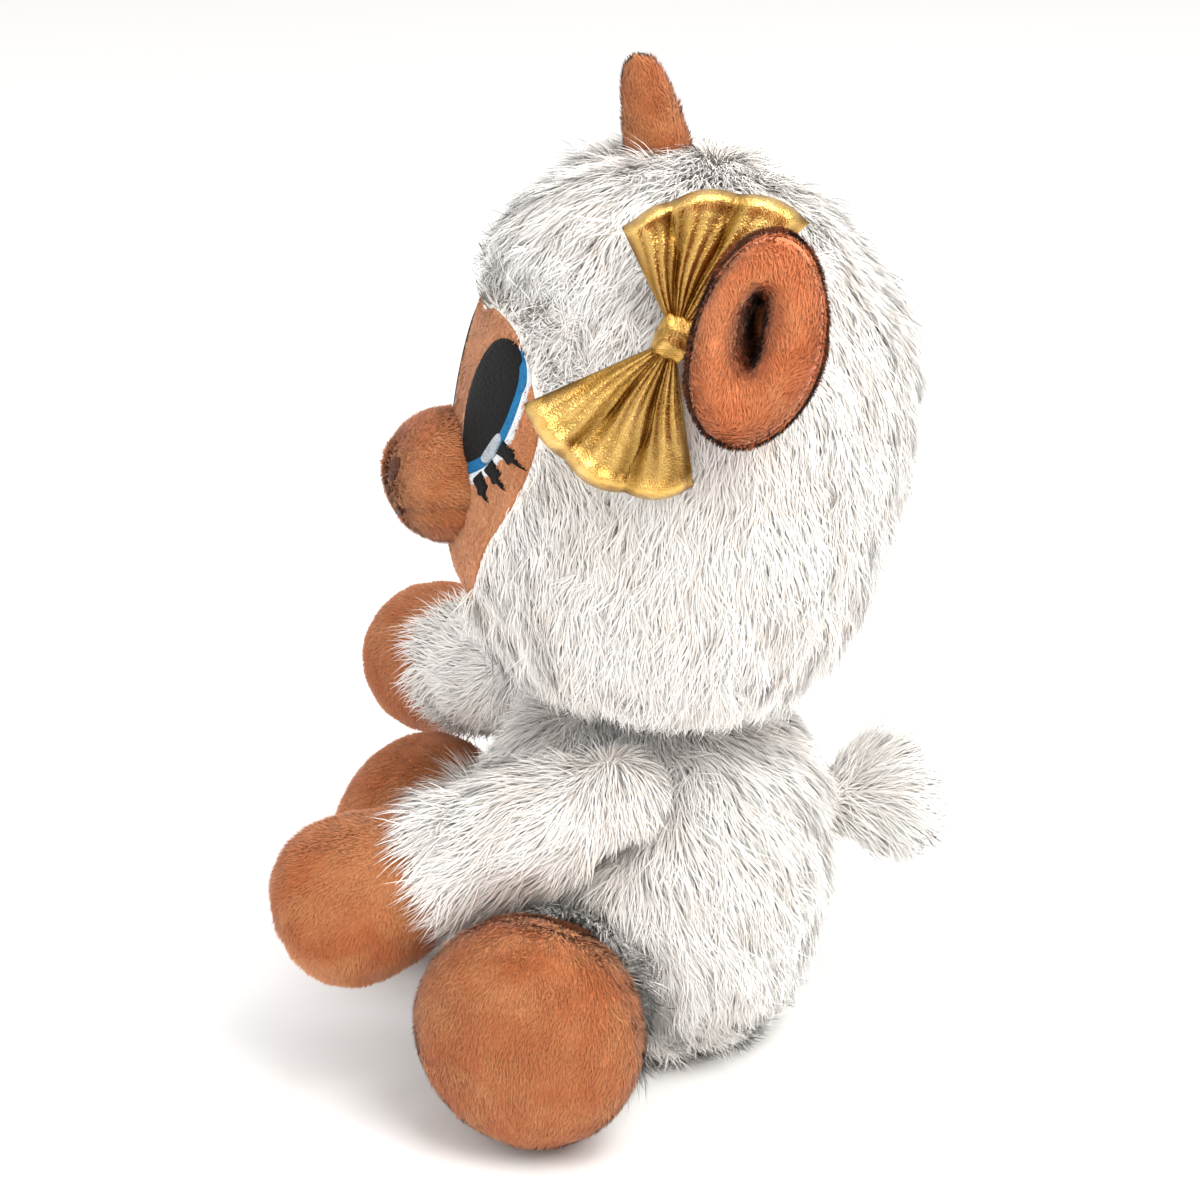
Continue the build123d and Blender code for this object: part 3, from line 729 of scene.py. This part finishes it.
def on_head(piece, node=None):
    piece.data.transform(head_place)
    field = piece.data.attributes.get("skin_normal")
    if field:
        ways = np.zeros(len(field.data) * 3)
        field.data.foreach_get("vector", ways)
        field.data.foreach_set("vector", (ways.reshape(-1, 3) @ np.array(head_place.to_3x3()).T).ravel())
    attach(piece, "head")
    if node:
        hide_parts(node)


def crown_seam(places):
    """From ear to ear over the top, and down the middle of the back."""
    over = np.where(places[:, 2] > 0.20, np.abs(places[:, 1] - 14 * MM), 1.0)
    back = np.where(places[:, 1] > 14 * MM, np.abs(places[:, 0]), 1.0)
    return np.minimum(over, back)


def rounded(points, count):
    """A smooth closed outline through the points, as count places."""
    points = np.array(points, float)
    steps = np.arange(count) / count * len(points)
    first = steps.astype(int)
    part = (steps - first)[:, None]
    a, b, c, d = (points[(first + k) % len(points)] for k in (-1, 0, 1, 2))
    return 0.5 * (2 * b + (c - a) * part + (2 * a - 5 * b + 4 * c - d) * part ** 2
                  + (3 * b - a - 3 * c + d) * part ** 3)


heart_half = [(0, 0.93), (0.30, 1.0), (0.66, 0.90), (0.95, 0.48), (0.90, 0.02), (0.70, -0.36), (0.40, -0.78),
              (0, -1.0)]
heart = rounded([(x * face_wide, z * face_tall) for x, z in heart_half]
                + [(-x * face_wide, z * face_tall) for x, z in reversed(heart_half[1:-1])], 120)
heart_turn = np.arctan2(heart[:, 0], heart[:, 1])
heart_order = np.argsort(heart_turn)
heart_reach = np.linalg.norm(heart, axis=1)


def in_face(places):
    """How far out towards the face's outline, 1 at the outline; large behind the face."""
    x, z = places[:, 0], places[:, 2] - face_middle
    edge = np.interp(np.arctan2(x, z), heart_turn[heart_order], heart_reach[heart_order], period=2 * math.pi)
    return np.where(places[:, 1] < -5 * MM, np.hypot(x, z) / edge, 9.0)


head_skin = stuffed("head_skin", "head_filling", white_cloth, voxel=5.0 * MM, grow=2.4 * MM, seams=crown_seam,
                    groove=1.0 * MM, turn=head_unturned)


# The cheeks and the middle of the face are stuffed further forward than the forehead.
head_places = corners(head_skin.data)
cheek = np.exp(-((head_places[:, 2] - 166 * MM) / (36 * MM)) ** 2 - (head_places[:, 0] / (44 * MM)) ** 2)
ahead = np.clip(-head_places[:, 1] / (20 * MM), 0, 1)
moved(head_skin.data, head_places - (cheek * ahead)[:, None] * np.array((0, 5.0 * MM, 0)))


def head_comb(places, normals):
    fall = places - crown
    far = np.linalg.norm(fall, axis=1, keepdims=True)
    fall = fall / np.maximum(far, 1e-6) * np.clip(far / 0.03, 0.7, 1)
    back = np.clip(places[:, 1:2] / 0.06, -0.2, 1) * np.array((0, 0.35, 0))
    rising = np.clip((1.55 - in_face(places)) / 0.4, 0, 1)[:, None]
    outwards = np.column_stack((places[:, 0], np.zeros(len(places)), places[:, 2] - face_middle))
    outwards = outwards / np.maximum(np.linalg.norm(outwards, axis=1, keepdims=True), 1e-6)
    top = np.clip((places[:, 2:3] - face_middle) / 0.03, 0, 1)
    return (fall + back) * (1 - 0.85 * rising * top) + 0.7 * rising * outwards


def head_cover(places):
    under = (places[:, 2] < 118 * MM) & (np.hypot(places[:, 0], places[:, 1] - 6 * MM) < 34 * MM)
    horn_foot = (places[:, 2] > 0.24) & (np.hypot(places[:, 0], places[:, 1] - 2 * MM) < 7 * MM)
    return np.where((in_face(places) < 1.03) | under | horn_foot, 0.0, 1.0)


def head_length(places):
    """Shorter on the forehead and round the face, longest under the cheeks and in the crown tuft."""
    front = np.clip((1.7 - in_face(places)) / 0.7, 0, 1)
    low = np.clip((0.165 - places[:, 2]) / 0.03, 0, 1)
    tuft = np.exp(-((places[:, 1] - 18 * MM) / 0.008) ** 2) * np.clip((places[:, 2] - 0.235) / 0.02, 0, 1)
    return 0.86 - 0.24 * front * (1 - low) + 0.22 * low + 0.20 * tuft


for fur in coat("head_fur", head_skin, long_pile, white_pile, parts=5, comb=head_comb, cover=head_cover,
                length_share=head_length, **white_wanted):
    on_head(fur)
head_tree = BVHTree.FromObject(head_skin, bpy.context.evaluated_depsgraph_get())
on_head(head_skin, "head_cover")

# ------------------------------------------------------------------------------------------------
# Face. A heart-shaped panel of tan plush let into the front of the head, and on it the embroidered
# eyes: a white rim, a blue crescent, a black oval with silver stitches, and three black lashes.


def patch(name, outline, tree, heart_point, lift, finish, rings=9, tuck=0.8 * MM):
    """A closed piece sewn flat on a skin: an outline seen from the front, raised and rounded at its edge."""
    middle = outline.mean(axis=0)
    count = len(outline)
    shares = [(k / rings) for k in range(1, rings)] + [0.985, 1.0, 0.97, 0.5]
    heights = [lift * (1 - 0.25 * (k / rings) ** 6) for k in range(1, rings)] + [0.55 * lift, 0, -tuck, -tuck]

    def laid(spot, height):
        hit, *_ = tree.ray_cast(Vector((spot[0], -0.4, spot[1])), Vector((0, 1, 0)))
        if hit is None:
            raise RuntimeError(f"{name} reaches off the skin")
        away = (hit - Vector(heart_point)).normalized()
        return tuple(hit + away * height)

    points = [laid(middle, lift)]
    for share, height in zip(shares, heights):
        points += [laid(middle + (spot - middle) * share, height) for spot in outline]
    points.append(laid(middle, -tuck))
    faces = [(0, 1 + (k + 1) % count, 1 + k) for k in range(count)]
    for ring in range(len(shares) - 1):
        start = 1 + ring * count
        for k in range(count):
            after = (k + 1) % count
            faces.append((start + k, start + after, start + count + after, start + count + k))
    last, end = 1 + (len(shares) - 1) * count, len(points) - 1
    faces += [(last + k, last + (k + 1) % count, end) for k in range(count)]
    mesh = made_mesh(name, points, faces)
    facing_out(mesh)
    return shown(name, mesh, finish)


def face_down(places, normals):
    return np.tile((0, -0.2, -1.0), (len(places), 1))


face = patch("face_skin", heart + np.array((0, face_middle)), head_tree, head_heart, 0.8 * MM, peach_skin,
             rings=16)

eye_out, eye_level, eye_lean = 24.0 * MM, 196 * MM, math.radians(20)
eye_wide, eye_high = 13.5 * MM, 22.5 * MM
almond = [(0.0, 1.0), (0.45, 0.93), (0.80, 0.68), (0.98, 0.26), (0.98, -0.18), (0.80, -0.55), (0.42, -0.86),
          (0.02, -1.06), (-0.30, -0.84), (-0.70, -0.52), (-0.94, -0.12), (-0.98, 0.30), (-0.80, 0.70),
          (-0.42, 0.93)]


def thread_finish(name, colour, dark, turn, roughness=0.45):
    """Close satin stitches of shiny thread, running one way."""
    thread = Finish(name, Roughness=roughness, Specular_IOR_Level=0.25)
    laid = thread.node("ShaderNodeMapping", {}, {
        "Vector": thread.place(), "Rotation": (0, math.radians(turn), 0), "Scale": (0.12, 1, 1)})
    rows = thread.noise(0.0006, 1, 0.2, where=laid)
    thread.feed("Base Color", thread.mix(rows, dark, colour))
    thread.raise_by(rows, 0.0006)
    return thread


black_thread = thread_finish("black thread", dyed(14, 14, 16), dyed(2, 2, 3), turn=12, roughness=0.7)
blue_thread = thread_finish("blue thread", dyed(16, 126, 178), dyed(4, 76, 128), turn=40)
white_thread = thread_finish("white thread", dyed(246, 248, 250), dyed(190, 200, 210), turn=60)
silver_thread = thread_finish("silver thread", dyed(200, 208, 216), dyed(116, 124, 134), turn=80)
brown_thread = thread_finish("brown thread", dyed(92, 44, 22), dyed(52, 24, 12), turn=10)


def eye_place(points, sign):
    """Points of the left eye about its middle, in millimetres, leaned and set on the face."""
    x, z = np.array(points, float).T * MM
    leaned_x = x * math.cos(eye_lean) + z * math.sin(eye_lean)
    leaned_z = z * math.cos(eye_lean) - x * math.sin(eye_lean)
    return np.column_stack((sign * (eye_out + leaned_x), eye_level + leaned_z))


def shrunk_almond(wide, high, shift_x, shift_z):
    return rounded([(x * wide + shift_x, z * high + shift_z) for x, z in almond], 96)


def lash(turn, reach):
    """One spiky clump of lash, from the eye's lower outer edge."""
    way = math.radians(turn)
    foot = np.array((12.2 * math.cos(way), 20.6 * math.sin(way)))
    along = np.array((math.cos(way * 0.55), math.sin(way * 0.55)))
    across = np.array((-along[1], along[0]))
    shape = [(-2.0, 2.6), (1.6, 1.9), (3.2, 2.5), (4.0, 0.8), (reach, 0.1), (4.6, -0.6), (3.6, -2.3),
             (1.5, -1.7), (-2.0, -2.6)]
    sharp = []
    for k, (a, b) in enumerate(shape):
        after = shape[(k + 1) % len(shape)]
        for part in (0, 0.34, 0.67):
            sharp.append(foot + along * (a + part * (after[0] - a)) + across * (b + part * (after[1] - b)))
    return np.array(sharp)


eye_layers = [
    ("eye_white", shrunk_almond(13.5, 22.5, 0, 0), 1.35, white_thread, "white_thread"),
    ("eye_blue", shrunk_almond(12.8, 21.3, -0.6, 1.3), 1.70, blue_thread, "blue_thread"),
    ("eye_black", shrunk_almond(11.7, 19.8, -1.7, 2.8), 2.05, black_thread, "black_thread"),
    ("eye_glint", rounded([(8.4, 1.0), (10.2, 0.4), (10.6, -4.0), (9.4, -8.6), (6.4, -9.4), (7.0, -4.5)], 48),
     2.35, silver_thread, "white_thread"),
]
for side, sign in (("left", 1), ("right", -1)):
    for name, outline, lift, finish, slot_name in eye_layers:
        piece = patch(f"{name}_{side}_stitches", eye_place(outline, sign), head_tree, head_heart, lift * MM,
                      finish)
        on_head(piece, f"{name}_{side}")
    for number, (turn, reach) in enumerate(((-6, 9.0), (-27, 8.0), (-47, 7.0))):
        piece = patch(f"lash_{number + 1}_{side}", eye_place(lash(turn, reach), sign), head_tree, head_heart,
                      1.9 * MM, black_thread, rings=4)
        on_head(piece, f"lashes_{side}" if number == 0 else None)


def face_cover(places):
    """No nap under the stitches, nor under the muzzle."""
    bare = in_face(places) > 1.0
    for sign in (1, -1):
        x, z = sign * places[:, 0] - eye_out, places[:, 2] - eye_level
        straight_x = x * math.cos(eye_lean) - z * math.sin(eye_lean)
        straight_z = z * math.cos(eye_lean) + x * math.sin(eye_lean)
        bare |= (straight_x / (eye_wide * 1.02)) ** 2 + (straight_z / (eye_high * 1.02)) ** 2 < 1
    return np.where(bare, 0.0, 1.0)


for nap in coat("face_nap", face, short_pile, peach_nap, comb=face_down, cover=face_cover,
                **{**nap_wanted, "Length": 1.5 * MM}):
    on_head(nap)
on_head(face, "face_panel")

# ------------------------------------------------------------------------------------------------
# Muzzle and horn. The snout is a stuffed round of caramel plush with a seam round it; the nostrils
# and the mouth are stitched. The horn is a blunt stuffed cone that leans forward.

muzzle_low, muzzle_high = head_box("muzzle_cover")
muzzle_middle = (muzzle_low + muzzle_high) / 2
snout_tip = muzzle_low[1]


def muzzle_seam(places):
    return np.abs(places[:, 2] - (muzzle_low[2] + 10 * MM) - 0.25 * np.abs(places[:, 0]))


muzzle_skin = stuffed("muzzle_skin", "muzzle_filling", caramel_skin, voxel=2.4 * MM, grow=1.9 * MM,
                      seams=muzzle_seam, groove=0.9 * MM, seam_width=1.4 * MM, swell=0.8 * MM,
                      turn=head_unturned)
# Its open back is sewn flat to the face, wider than the filling.
muzzle_places = corners(muzzle_skin.data)
rear = np.clip((muzzle_places[:, 1:2] - snout_tip - 18 * MM) / (8 * MM), 0, 1)
muzzle_places = muzzle_places + rear * (outward(muzzle_skin.data) * 1.3 * MM + np.array((0, 2.2, 0)) * MM)
moved(muzzle_skin.data, muzzle_places - (1 - rear) * np.array((0, 2.0 * MM, 0)))
muzzle_tree = BVHTree.FromObject(muzzle_skin, bpy.context.evaluated_depsgraph_get())
snout_heart = muzzle_middle + np.array((0, 6 * MM, 0))
nostril_z = muzzle_middle[2] + 5 * MM
for side, sign in (("left", 1), ("right", -1)):
    oval = rounded([(sign * 9 * MM + 2.4 * MM * math.cos(a), nostril_z + 3.4 * MM * math.sin(a))
                    for a in np.linspace(0, 2 * math.pi, 12, endpoint=False)], 36)
    piece = patch(f"nostril_{side}_stitches", oval, muzzle_tree, snout_heart, 0.9 * MM, brown_thread, rings=4)
    on_head(piece, f"nostril_{side}")
mouth_x = np.linspace(-11, 11, 23)
mouth_z = -9.0 + 3.0 * (mouth_x / 11) ** 2
band = np.vstack((np.column_stack((mouth_x, mouth_z + 0.7)), np.column_stack((mouth_x, mouth_z - 0.7))[::-1]))
rows = []
for x, z in band * MM:
    hit, *_ = muzzle_tree.ray_cast(Vector((x, -0.4, muzzle_middle[2] + z)), Vector((0, 1, 0)))
    away = (hit - Vector(snout_heart)).normalized()
    rows.append((hit + away * 0.9 * MM, hit - away * 0.5 * MM))
count = len(rows)
smile = bpy.data.meshes.new("mouth")
smile.from_pydata([tuple(top) for top, _ in rows] + [tuple(low) for _, low in rows], [],
                  [(start + k, start + k + 1, start + count - 2 - k, start + count - 1 - k)
                   for start in (0, count) for k in range(count // 2 - 1)]
                  + [(k, (k + 1) % count, count + (k + 1) % count, count + k) for k in range(count)])
facing_out(smile)
mouth = shown("mouth_stitches", smile, brown_thread)
on_head(mouth, "mouth_stitch")


def muzzle_comb(places, normals):
    back = (places - np.array((0, snout_tip, muzzle_middle[2]))) / (10 * MM)
    return back * (1, 0.4, 1) + np.array((0, 0.4, -0.4))


def muzzle_cover(places):
    return np.where(places[:, 1] > snout_tip + 27 * MM, 0.0, 1.0)


for nap in coat("muzzle_nap", muzzle_skin, short_pile, caramel_nap, comb=muzzle_comb, cover=muzzle_cover,
                **nap_wanted):
    on_head(nap)
on_head(muzzle_skin, "muzzle_cover")

horn_skin = stuffed("horn_skin", "horn_filling", caramel_skin, voxel=1.7 * MM, grow=2.0 * MM,
                    seams=lambda places: np.where(places[:, 1] > 0, np.abs(places[:, 0]), 1.0),
                    groove=0.7 * MM, seam_width=1.2 * MM, swell=0.5 * MM, turn=head_unturned)
# The tip is stuffed blunt.
horn_places = corners(horn_skin.data)
horn_top = horn_places[:, 2].max()
tip_share = np.clip((horn_places[:, 2] - horn_top + 16 * MM) / (16 * MM), 0, 1)[:, None]
moved(horn_skin.data, horn_places + outward(horn_skin.data) * tip_share * 1.3 * MM * (1, 1, 0.2))
for nap in coat("horn_nap", horn_skin, short_pile, caramel_nap,
                comb=lambda places, normals: np.tile((0, -0.3, 1.0), (len(places), 1)), **nap_wanted):
    on_head(nap)
on_head(horn_skin, "horn_cover")

# ------------------------------------------------------------------------------------------------
# Ears. A thick leaf of rust plush, gathered to a stalk at the head and folded round at its open end,
# so that a narrow slot is left between the two lips; the lining is sewn in round the slot.

ear_long, ear_deep, ear_high = 42 * MM, 16.5 * MM, 28 * MM


def ringed_mesh(name, rings, axes, pivot, finish, count=56, bend=None):
    """A closed skin through ovals along a limb's axis: (out, half across, half up) for each, in metres."""
    points, faces = [], []
    for number, (out, half_across, half_up) in enumerate(rings):
        for k in range(count):
            turn = 2 * math.pi * k / count
            spot = np.array((out, half_across * math.cos(turn), half_up * math.sin(turn)))
            points.append(bend(spot) if bend else spot)
        if number:
            start = (number - 1) * count
            for k in range(count):
                after = (k + 1) % count
                faces.append((start + k, start + after, start + count + after, start + count + k))
    first, last = len(points), len(points) + 1
    points += [np.mean(points[:count], axis=0), np.mean(points[-count:], axis=0)]
    top = (len(rings) - 1) * count
    faces += [((k + 1) % count, k, first) for k in range(count)]
    faces += [(top + k, top + (k + 1) % count, last) for k in range(count)]
    mesh = made_mesh(name, [pivot + spot @ axes for spot in points], faces)
    facing_out(mesh)
    return shown(name, mesh, finish)


def ear(side, sign):
    body = f"ear_{side}"
    if side == "left":
        axes = limb_axes(70, -6)
    else:
        out, across, up = limb_axes(-86, 30)
        axes = np.array([out, up, -across])
    pivot = np.array(hinges[f"ear_{side}_bend"]["pos_m"])
    flip = np.array((1, sign, 1))

    def folded(spot):
        """The leaf leans back at the top, is widest low down, and its front lip rolls further out.

        The slot lies towards the top and the front.
        """
        out, across, up = spot
        grown = max(0.0, out / ear_long)
        across = across * (1 - 0.10 * up / ear_high) + 5.0 * MM * grown * up / ear_high
        out = out - 2.5 * MM * (up / ear_high) ** 2 * grown - 1.6 * MM * grown * across / ear_deep
        middle = max(0.0, 1 - math.hypot(across / ear_deep, up / ear_high)) * grown
        across, up = across - 2.0 * MM * middle, up + 4.5 * MM * middle
        return np.array((out, across, up)) * flip

    # Ovals from the stalk out to the rim, then back down inside: the cover, and the lining in it.
    outer = [(-5, 3.0, 3.5), (0, 6.0, 7.0), (7, 6.8, 8.6), (14, 11.6, 17.5), (22, 15.2, 25.0),
             (29, 16.8, 27.6), (34, 17.2, 28.0), (37.5, 17.1, 27.8), (39, 16.7, 27.4), (38.4, 16.0, 26.7),
             (34, 14.9, 25.6), (28, 12.0, 22.0), (18, 8.0, 14.0)]
    lining = [(18.5, 7.5, 13.5), (24, 9.0, 16.0), (29, 12.0, 22.0), (34, 14.6, 25.2), (38.6, 16.3, 27.0),
              (41.2, 16.2, 26.9), (43.2, 14.2, 24.6), (44.8, 11.4, 21.2), (45.0, 8.6, 17.4),
              (43.4, 5.6, 13.6), (39.5, 3.7, 10.8), (34, 2.7, 9.0), (27, 1.9, 7.5), (20, 1.1, 6.0)]
    cover, inside = (ringed_mesh(f"{body}_{name}", np.array(rings) * MM, axes, pivot, rust_skin, bend=folded)
                     for name, rings in (("skin", outer), ("lining_skin", lining)))

    def comb(places, normals):
        return np.tile(axes[0] + np.array((0, 0, -0.4)), (len(places), 1))

    for piece, cad in ((cover, f"{body}_cover"), (inside, f"{body}_lining")):
        finer = piece.modifiers.new("finer", "SUBSURF")
        finer.levels = finer.render_levels = 1
        flattened(piece)
        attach(piece, body)
        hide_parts(cad)

        def bare_inside(places):
            """No nap on the stalk, nor where cover and lining lie against each other."""
            out, *round_axis = ((places - pivot) @ axes.T).T
            _, *facing = (outward(piece.data) @ axes.T).T
            away = np.sum(np.array(round_axis) * facing, axis=0) > 0
            hidden = (away & (out < 38.5 * MM)) if piece == inside else ~away
            return np.where((out < 2 * MM) | hidden, 0.0, 1.0)

        for nap in coat(f"{cad}_nap", piece, short_pile, rust_nap, comb=comb, cover=bare_inside,
                        **{**nap_wanted, "Length": 2.6 * MM}):
            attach(nap, body)


ear("left", 1)
ear("right", -1)

# ------------------------------------------------------------------------------------------------
# Bow. Two loops of gold lame, each gathered at the knot and spread like a fan against the side of the
# head, with a wrap of the same cloth round the gathers. The folded ends are rolled and thicker.

gold = Finish("gold lame", Metallic=0.95, Roughness=0.25)
weave = gold.noise(0.0005, 2)
sheen = gold.noise(0.009, 3, 0.5)
# Painted shade and highlight: the base colour runs from a painted shaded gold in the creases to a painted lit
# gold on the ridges and rolled edges, by a value stored on each mesh; the weave adds fine painted sparkle to
# that share.
fold = gold.node("ShaderNodeAttribute", {"attribute_name": "fold"}, out="Fac")
shaded_gold = gold.mix(sheen, dyed(96, 62, 14), dyed(138, 94, 28))
lit_gold = gold.mix(sheen, dyed(200, 150, 60), dyed(244, 210, 136))
gold.feed("Base Color", gold.mix(fold + weave * 0.2 - 0.1, shaded_gold, lit_gold))
gold.feed("Roughness", weave * 0.22 + 0.10)
gold.raise_by(weave * 0.5 + sheen * 2.0, 0.0006, 0.9)

knot_low, knot_high = head_box("bow_knot")
knot_middle = (knot_low + knot_high) / 2
# Out of the head, forwards and up, in the plane that the bow lies in.
bow_tilt = Matrix.Rotation(math.radians(-12), 3, "Y")
bow_out, bow_ahead, bow_up = (bow_tilt @ Vector(way) for way in ((1, 0, 0), (0, -1, 0), (0, 0, 1)))


def fan(name, low_turn, high_turn, reach, pleats, node, lay):
    """A gathered loop: a puffed sector creased to the knot, rolled at its edge, with painted shade and
    highlight.
    """
    across, out = 96, 34
    tops, backs, painted_light_values = [], [], []
    for i in range(out + 1):
        r = i / out
        for j in range(across + 1):
            s = j / across
            turn = math.radians(low_turn + (high_turn - low_turn) * s)
            long = reach(s)
            crease = abs(math.sin(math.pi * (s * pleats + 0.06 * math.sin(9 * r))))
            edge = min(1.0, 14 * min(s, 1 - s) + 0.02) ** 0.5
            puff = (0.8 + 7.0 * r * (1 - 0.55 * r)) * MM * (0.42 + 0.58 * crease ** 0.55)
            ripple = math.sin(2 * math.pi * (s * 3.4 * pleats + 0.25 * math.sin(6 * r)))
            puff = puff * (1 - max(0.0, (r - 0.9) / 0.1) ** 2.5 * 0.92) + 0.35 * MM * ripple * r * (1 - r) * 4
            rolled = 1.4 * MM * math.exp(-((r - 0.93) / 0.05) ** 2)
            spread = 4 * MM + r * (long - 4 * MM) * (1 - 0.035 * (1 - crease) * r)
            base = lay(r, s)
            # Painted highlight on the crease ridges and ripples, painted shade in the valleys between them,
            # and a painted highlight along the rolled edge, kept for the gold's base colour.
            painted_ridge_highlight = 0.75 * crease ** 1.5 * (0.35 + 0.65 * r) + 0.16 * ripple
            painted_light_values.append(0.12 + painted_ridge_highlight + 0.5 * math.exp(-((r - 0.94) / 0.05) ** 2))
            flat = bow_ahead * (spread * math.cos(turn)) + bow_up * (spread * math.sin(turn))
            tops.append(Vector(knot_middle) + flat + bow_out * (base + (puff + rolled) * edge))
            backs.append(Vector(knot_middle) + flat + bow_out * (base - 0.35 * puff * edge))
    wide = across + 1
    size = len(tops)
    faces = []
    for i in range(out):
        for j in range(across):
            a = i * wide + j
            faces.append((a, a + 1, a + wide + 1, a + wide))
            faces.append((size + a, size + a + wide, size + a + wide + 1, size + a + 1))
    for i in range(out):
        for a, b in ((i * wide, (i + 1) * wide), ((i + 1) * wide + across, i * wide + across)):
            faces.append((a, b, size + b, size + a))
    for j in range(across):
        faces.append((j + 1, j, size + j, size + j + 1))
        a = out * wide + j
        faces.append((a, a + 1, size + a + 1, size + a))
    mesh = made_mesh(name, tops + backs, faces)
    set_field(mesh, "fold", "FLOAT", painted_light_values + painted_light_values)
    facing_out(mesh, weld=0.001 * MM)
    on_head(shown(name, mesh, gold), node)


def lower_reach(s):
    """Nearly round, with a corner at the front."""
    return (43 + 1.2 * math.exp(-(s / 0.06) ** 2) + 1.5 * math.sin(math.pi * s) - 2.5 * s ** 4) * MM


def upper_reach(s):
    """Longer towards the back, where it runs in behind the ear."""
    return (31 + 17 * s + 1.5 * math.exp(-(s / 0.06) ** 2)) * MM


fan("bow_lower_cloth", -22, -96, lower_reach, 3, "bow_lower_loop",
    lambda r, s: (1.0 - 1.5 * r + 3.0 * r * s) * MM)
fan("bow_upper_cloth", 66, 142, upper_reach, 3, "bow_upper_loop",
    lambda r, s: (1.0 - 1.0 * r) * MM)

knot_rings = [(-5.5, 1.0), (-5.1, 3.6), (-3.8, 4.9), (-1.6, 4.4), (0.4, 4.8), (2.4, 4.3), (4.2, 4.8),
              (5.2, 3.5), (5.6, 1.0)]
along_knot = (bow_ahead * math.cos(math.radians(25)) + bow_up * math.sin(math.radians(25))).normalized()
knot_axes = np.array([along_knot, bow_out.cross(along_knot), bow_out])


def wrinkled(spot):
    out, across, up = spot
    turn = math.atan2(up, across)
    return np.array((out * 0.9 + 0.3 * MM * math.sin(3 * turn),
                     across * (1 + 0.06 * math.sin(5 * turn + 300 * out)),
                     up * (0.9 + 0.05 * math.sin(7 * turn - 200 * out))))


knot = ringed_mesh("bow_knot_cloth", [(a * MM, b * 1.25 * MM, b * MM) for a, b in knot_rings], knot_axes,
                   knot_middle + np.array(bow_out) * 2.0 * MM, gold, bend=wrinkled)
wraps = corners(knot.data) @ np.array(along_knot)
# Painted shade and highlight in fine bands along the knot, for its wraps of cloth.
set_field(knot.data, "fold", "FLOAT", 0.55 + 0.4 * np.sin(wraps / (0.45 * MM)))
on_head(knot, "bow_knot")
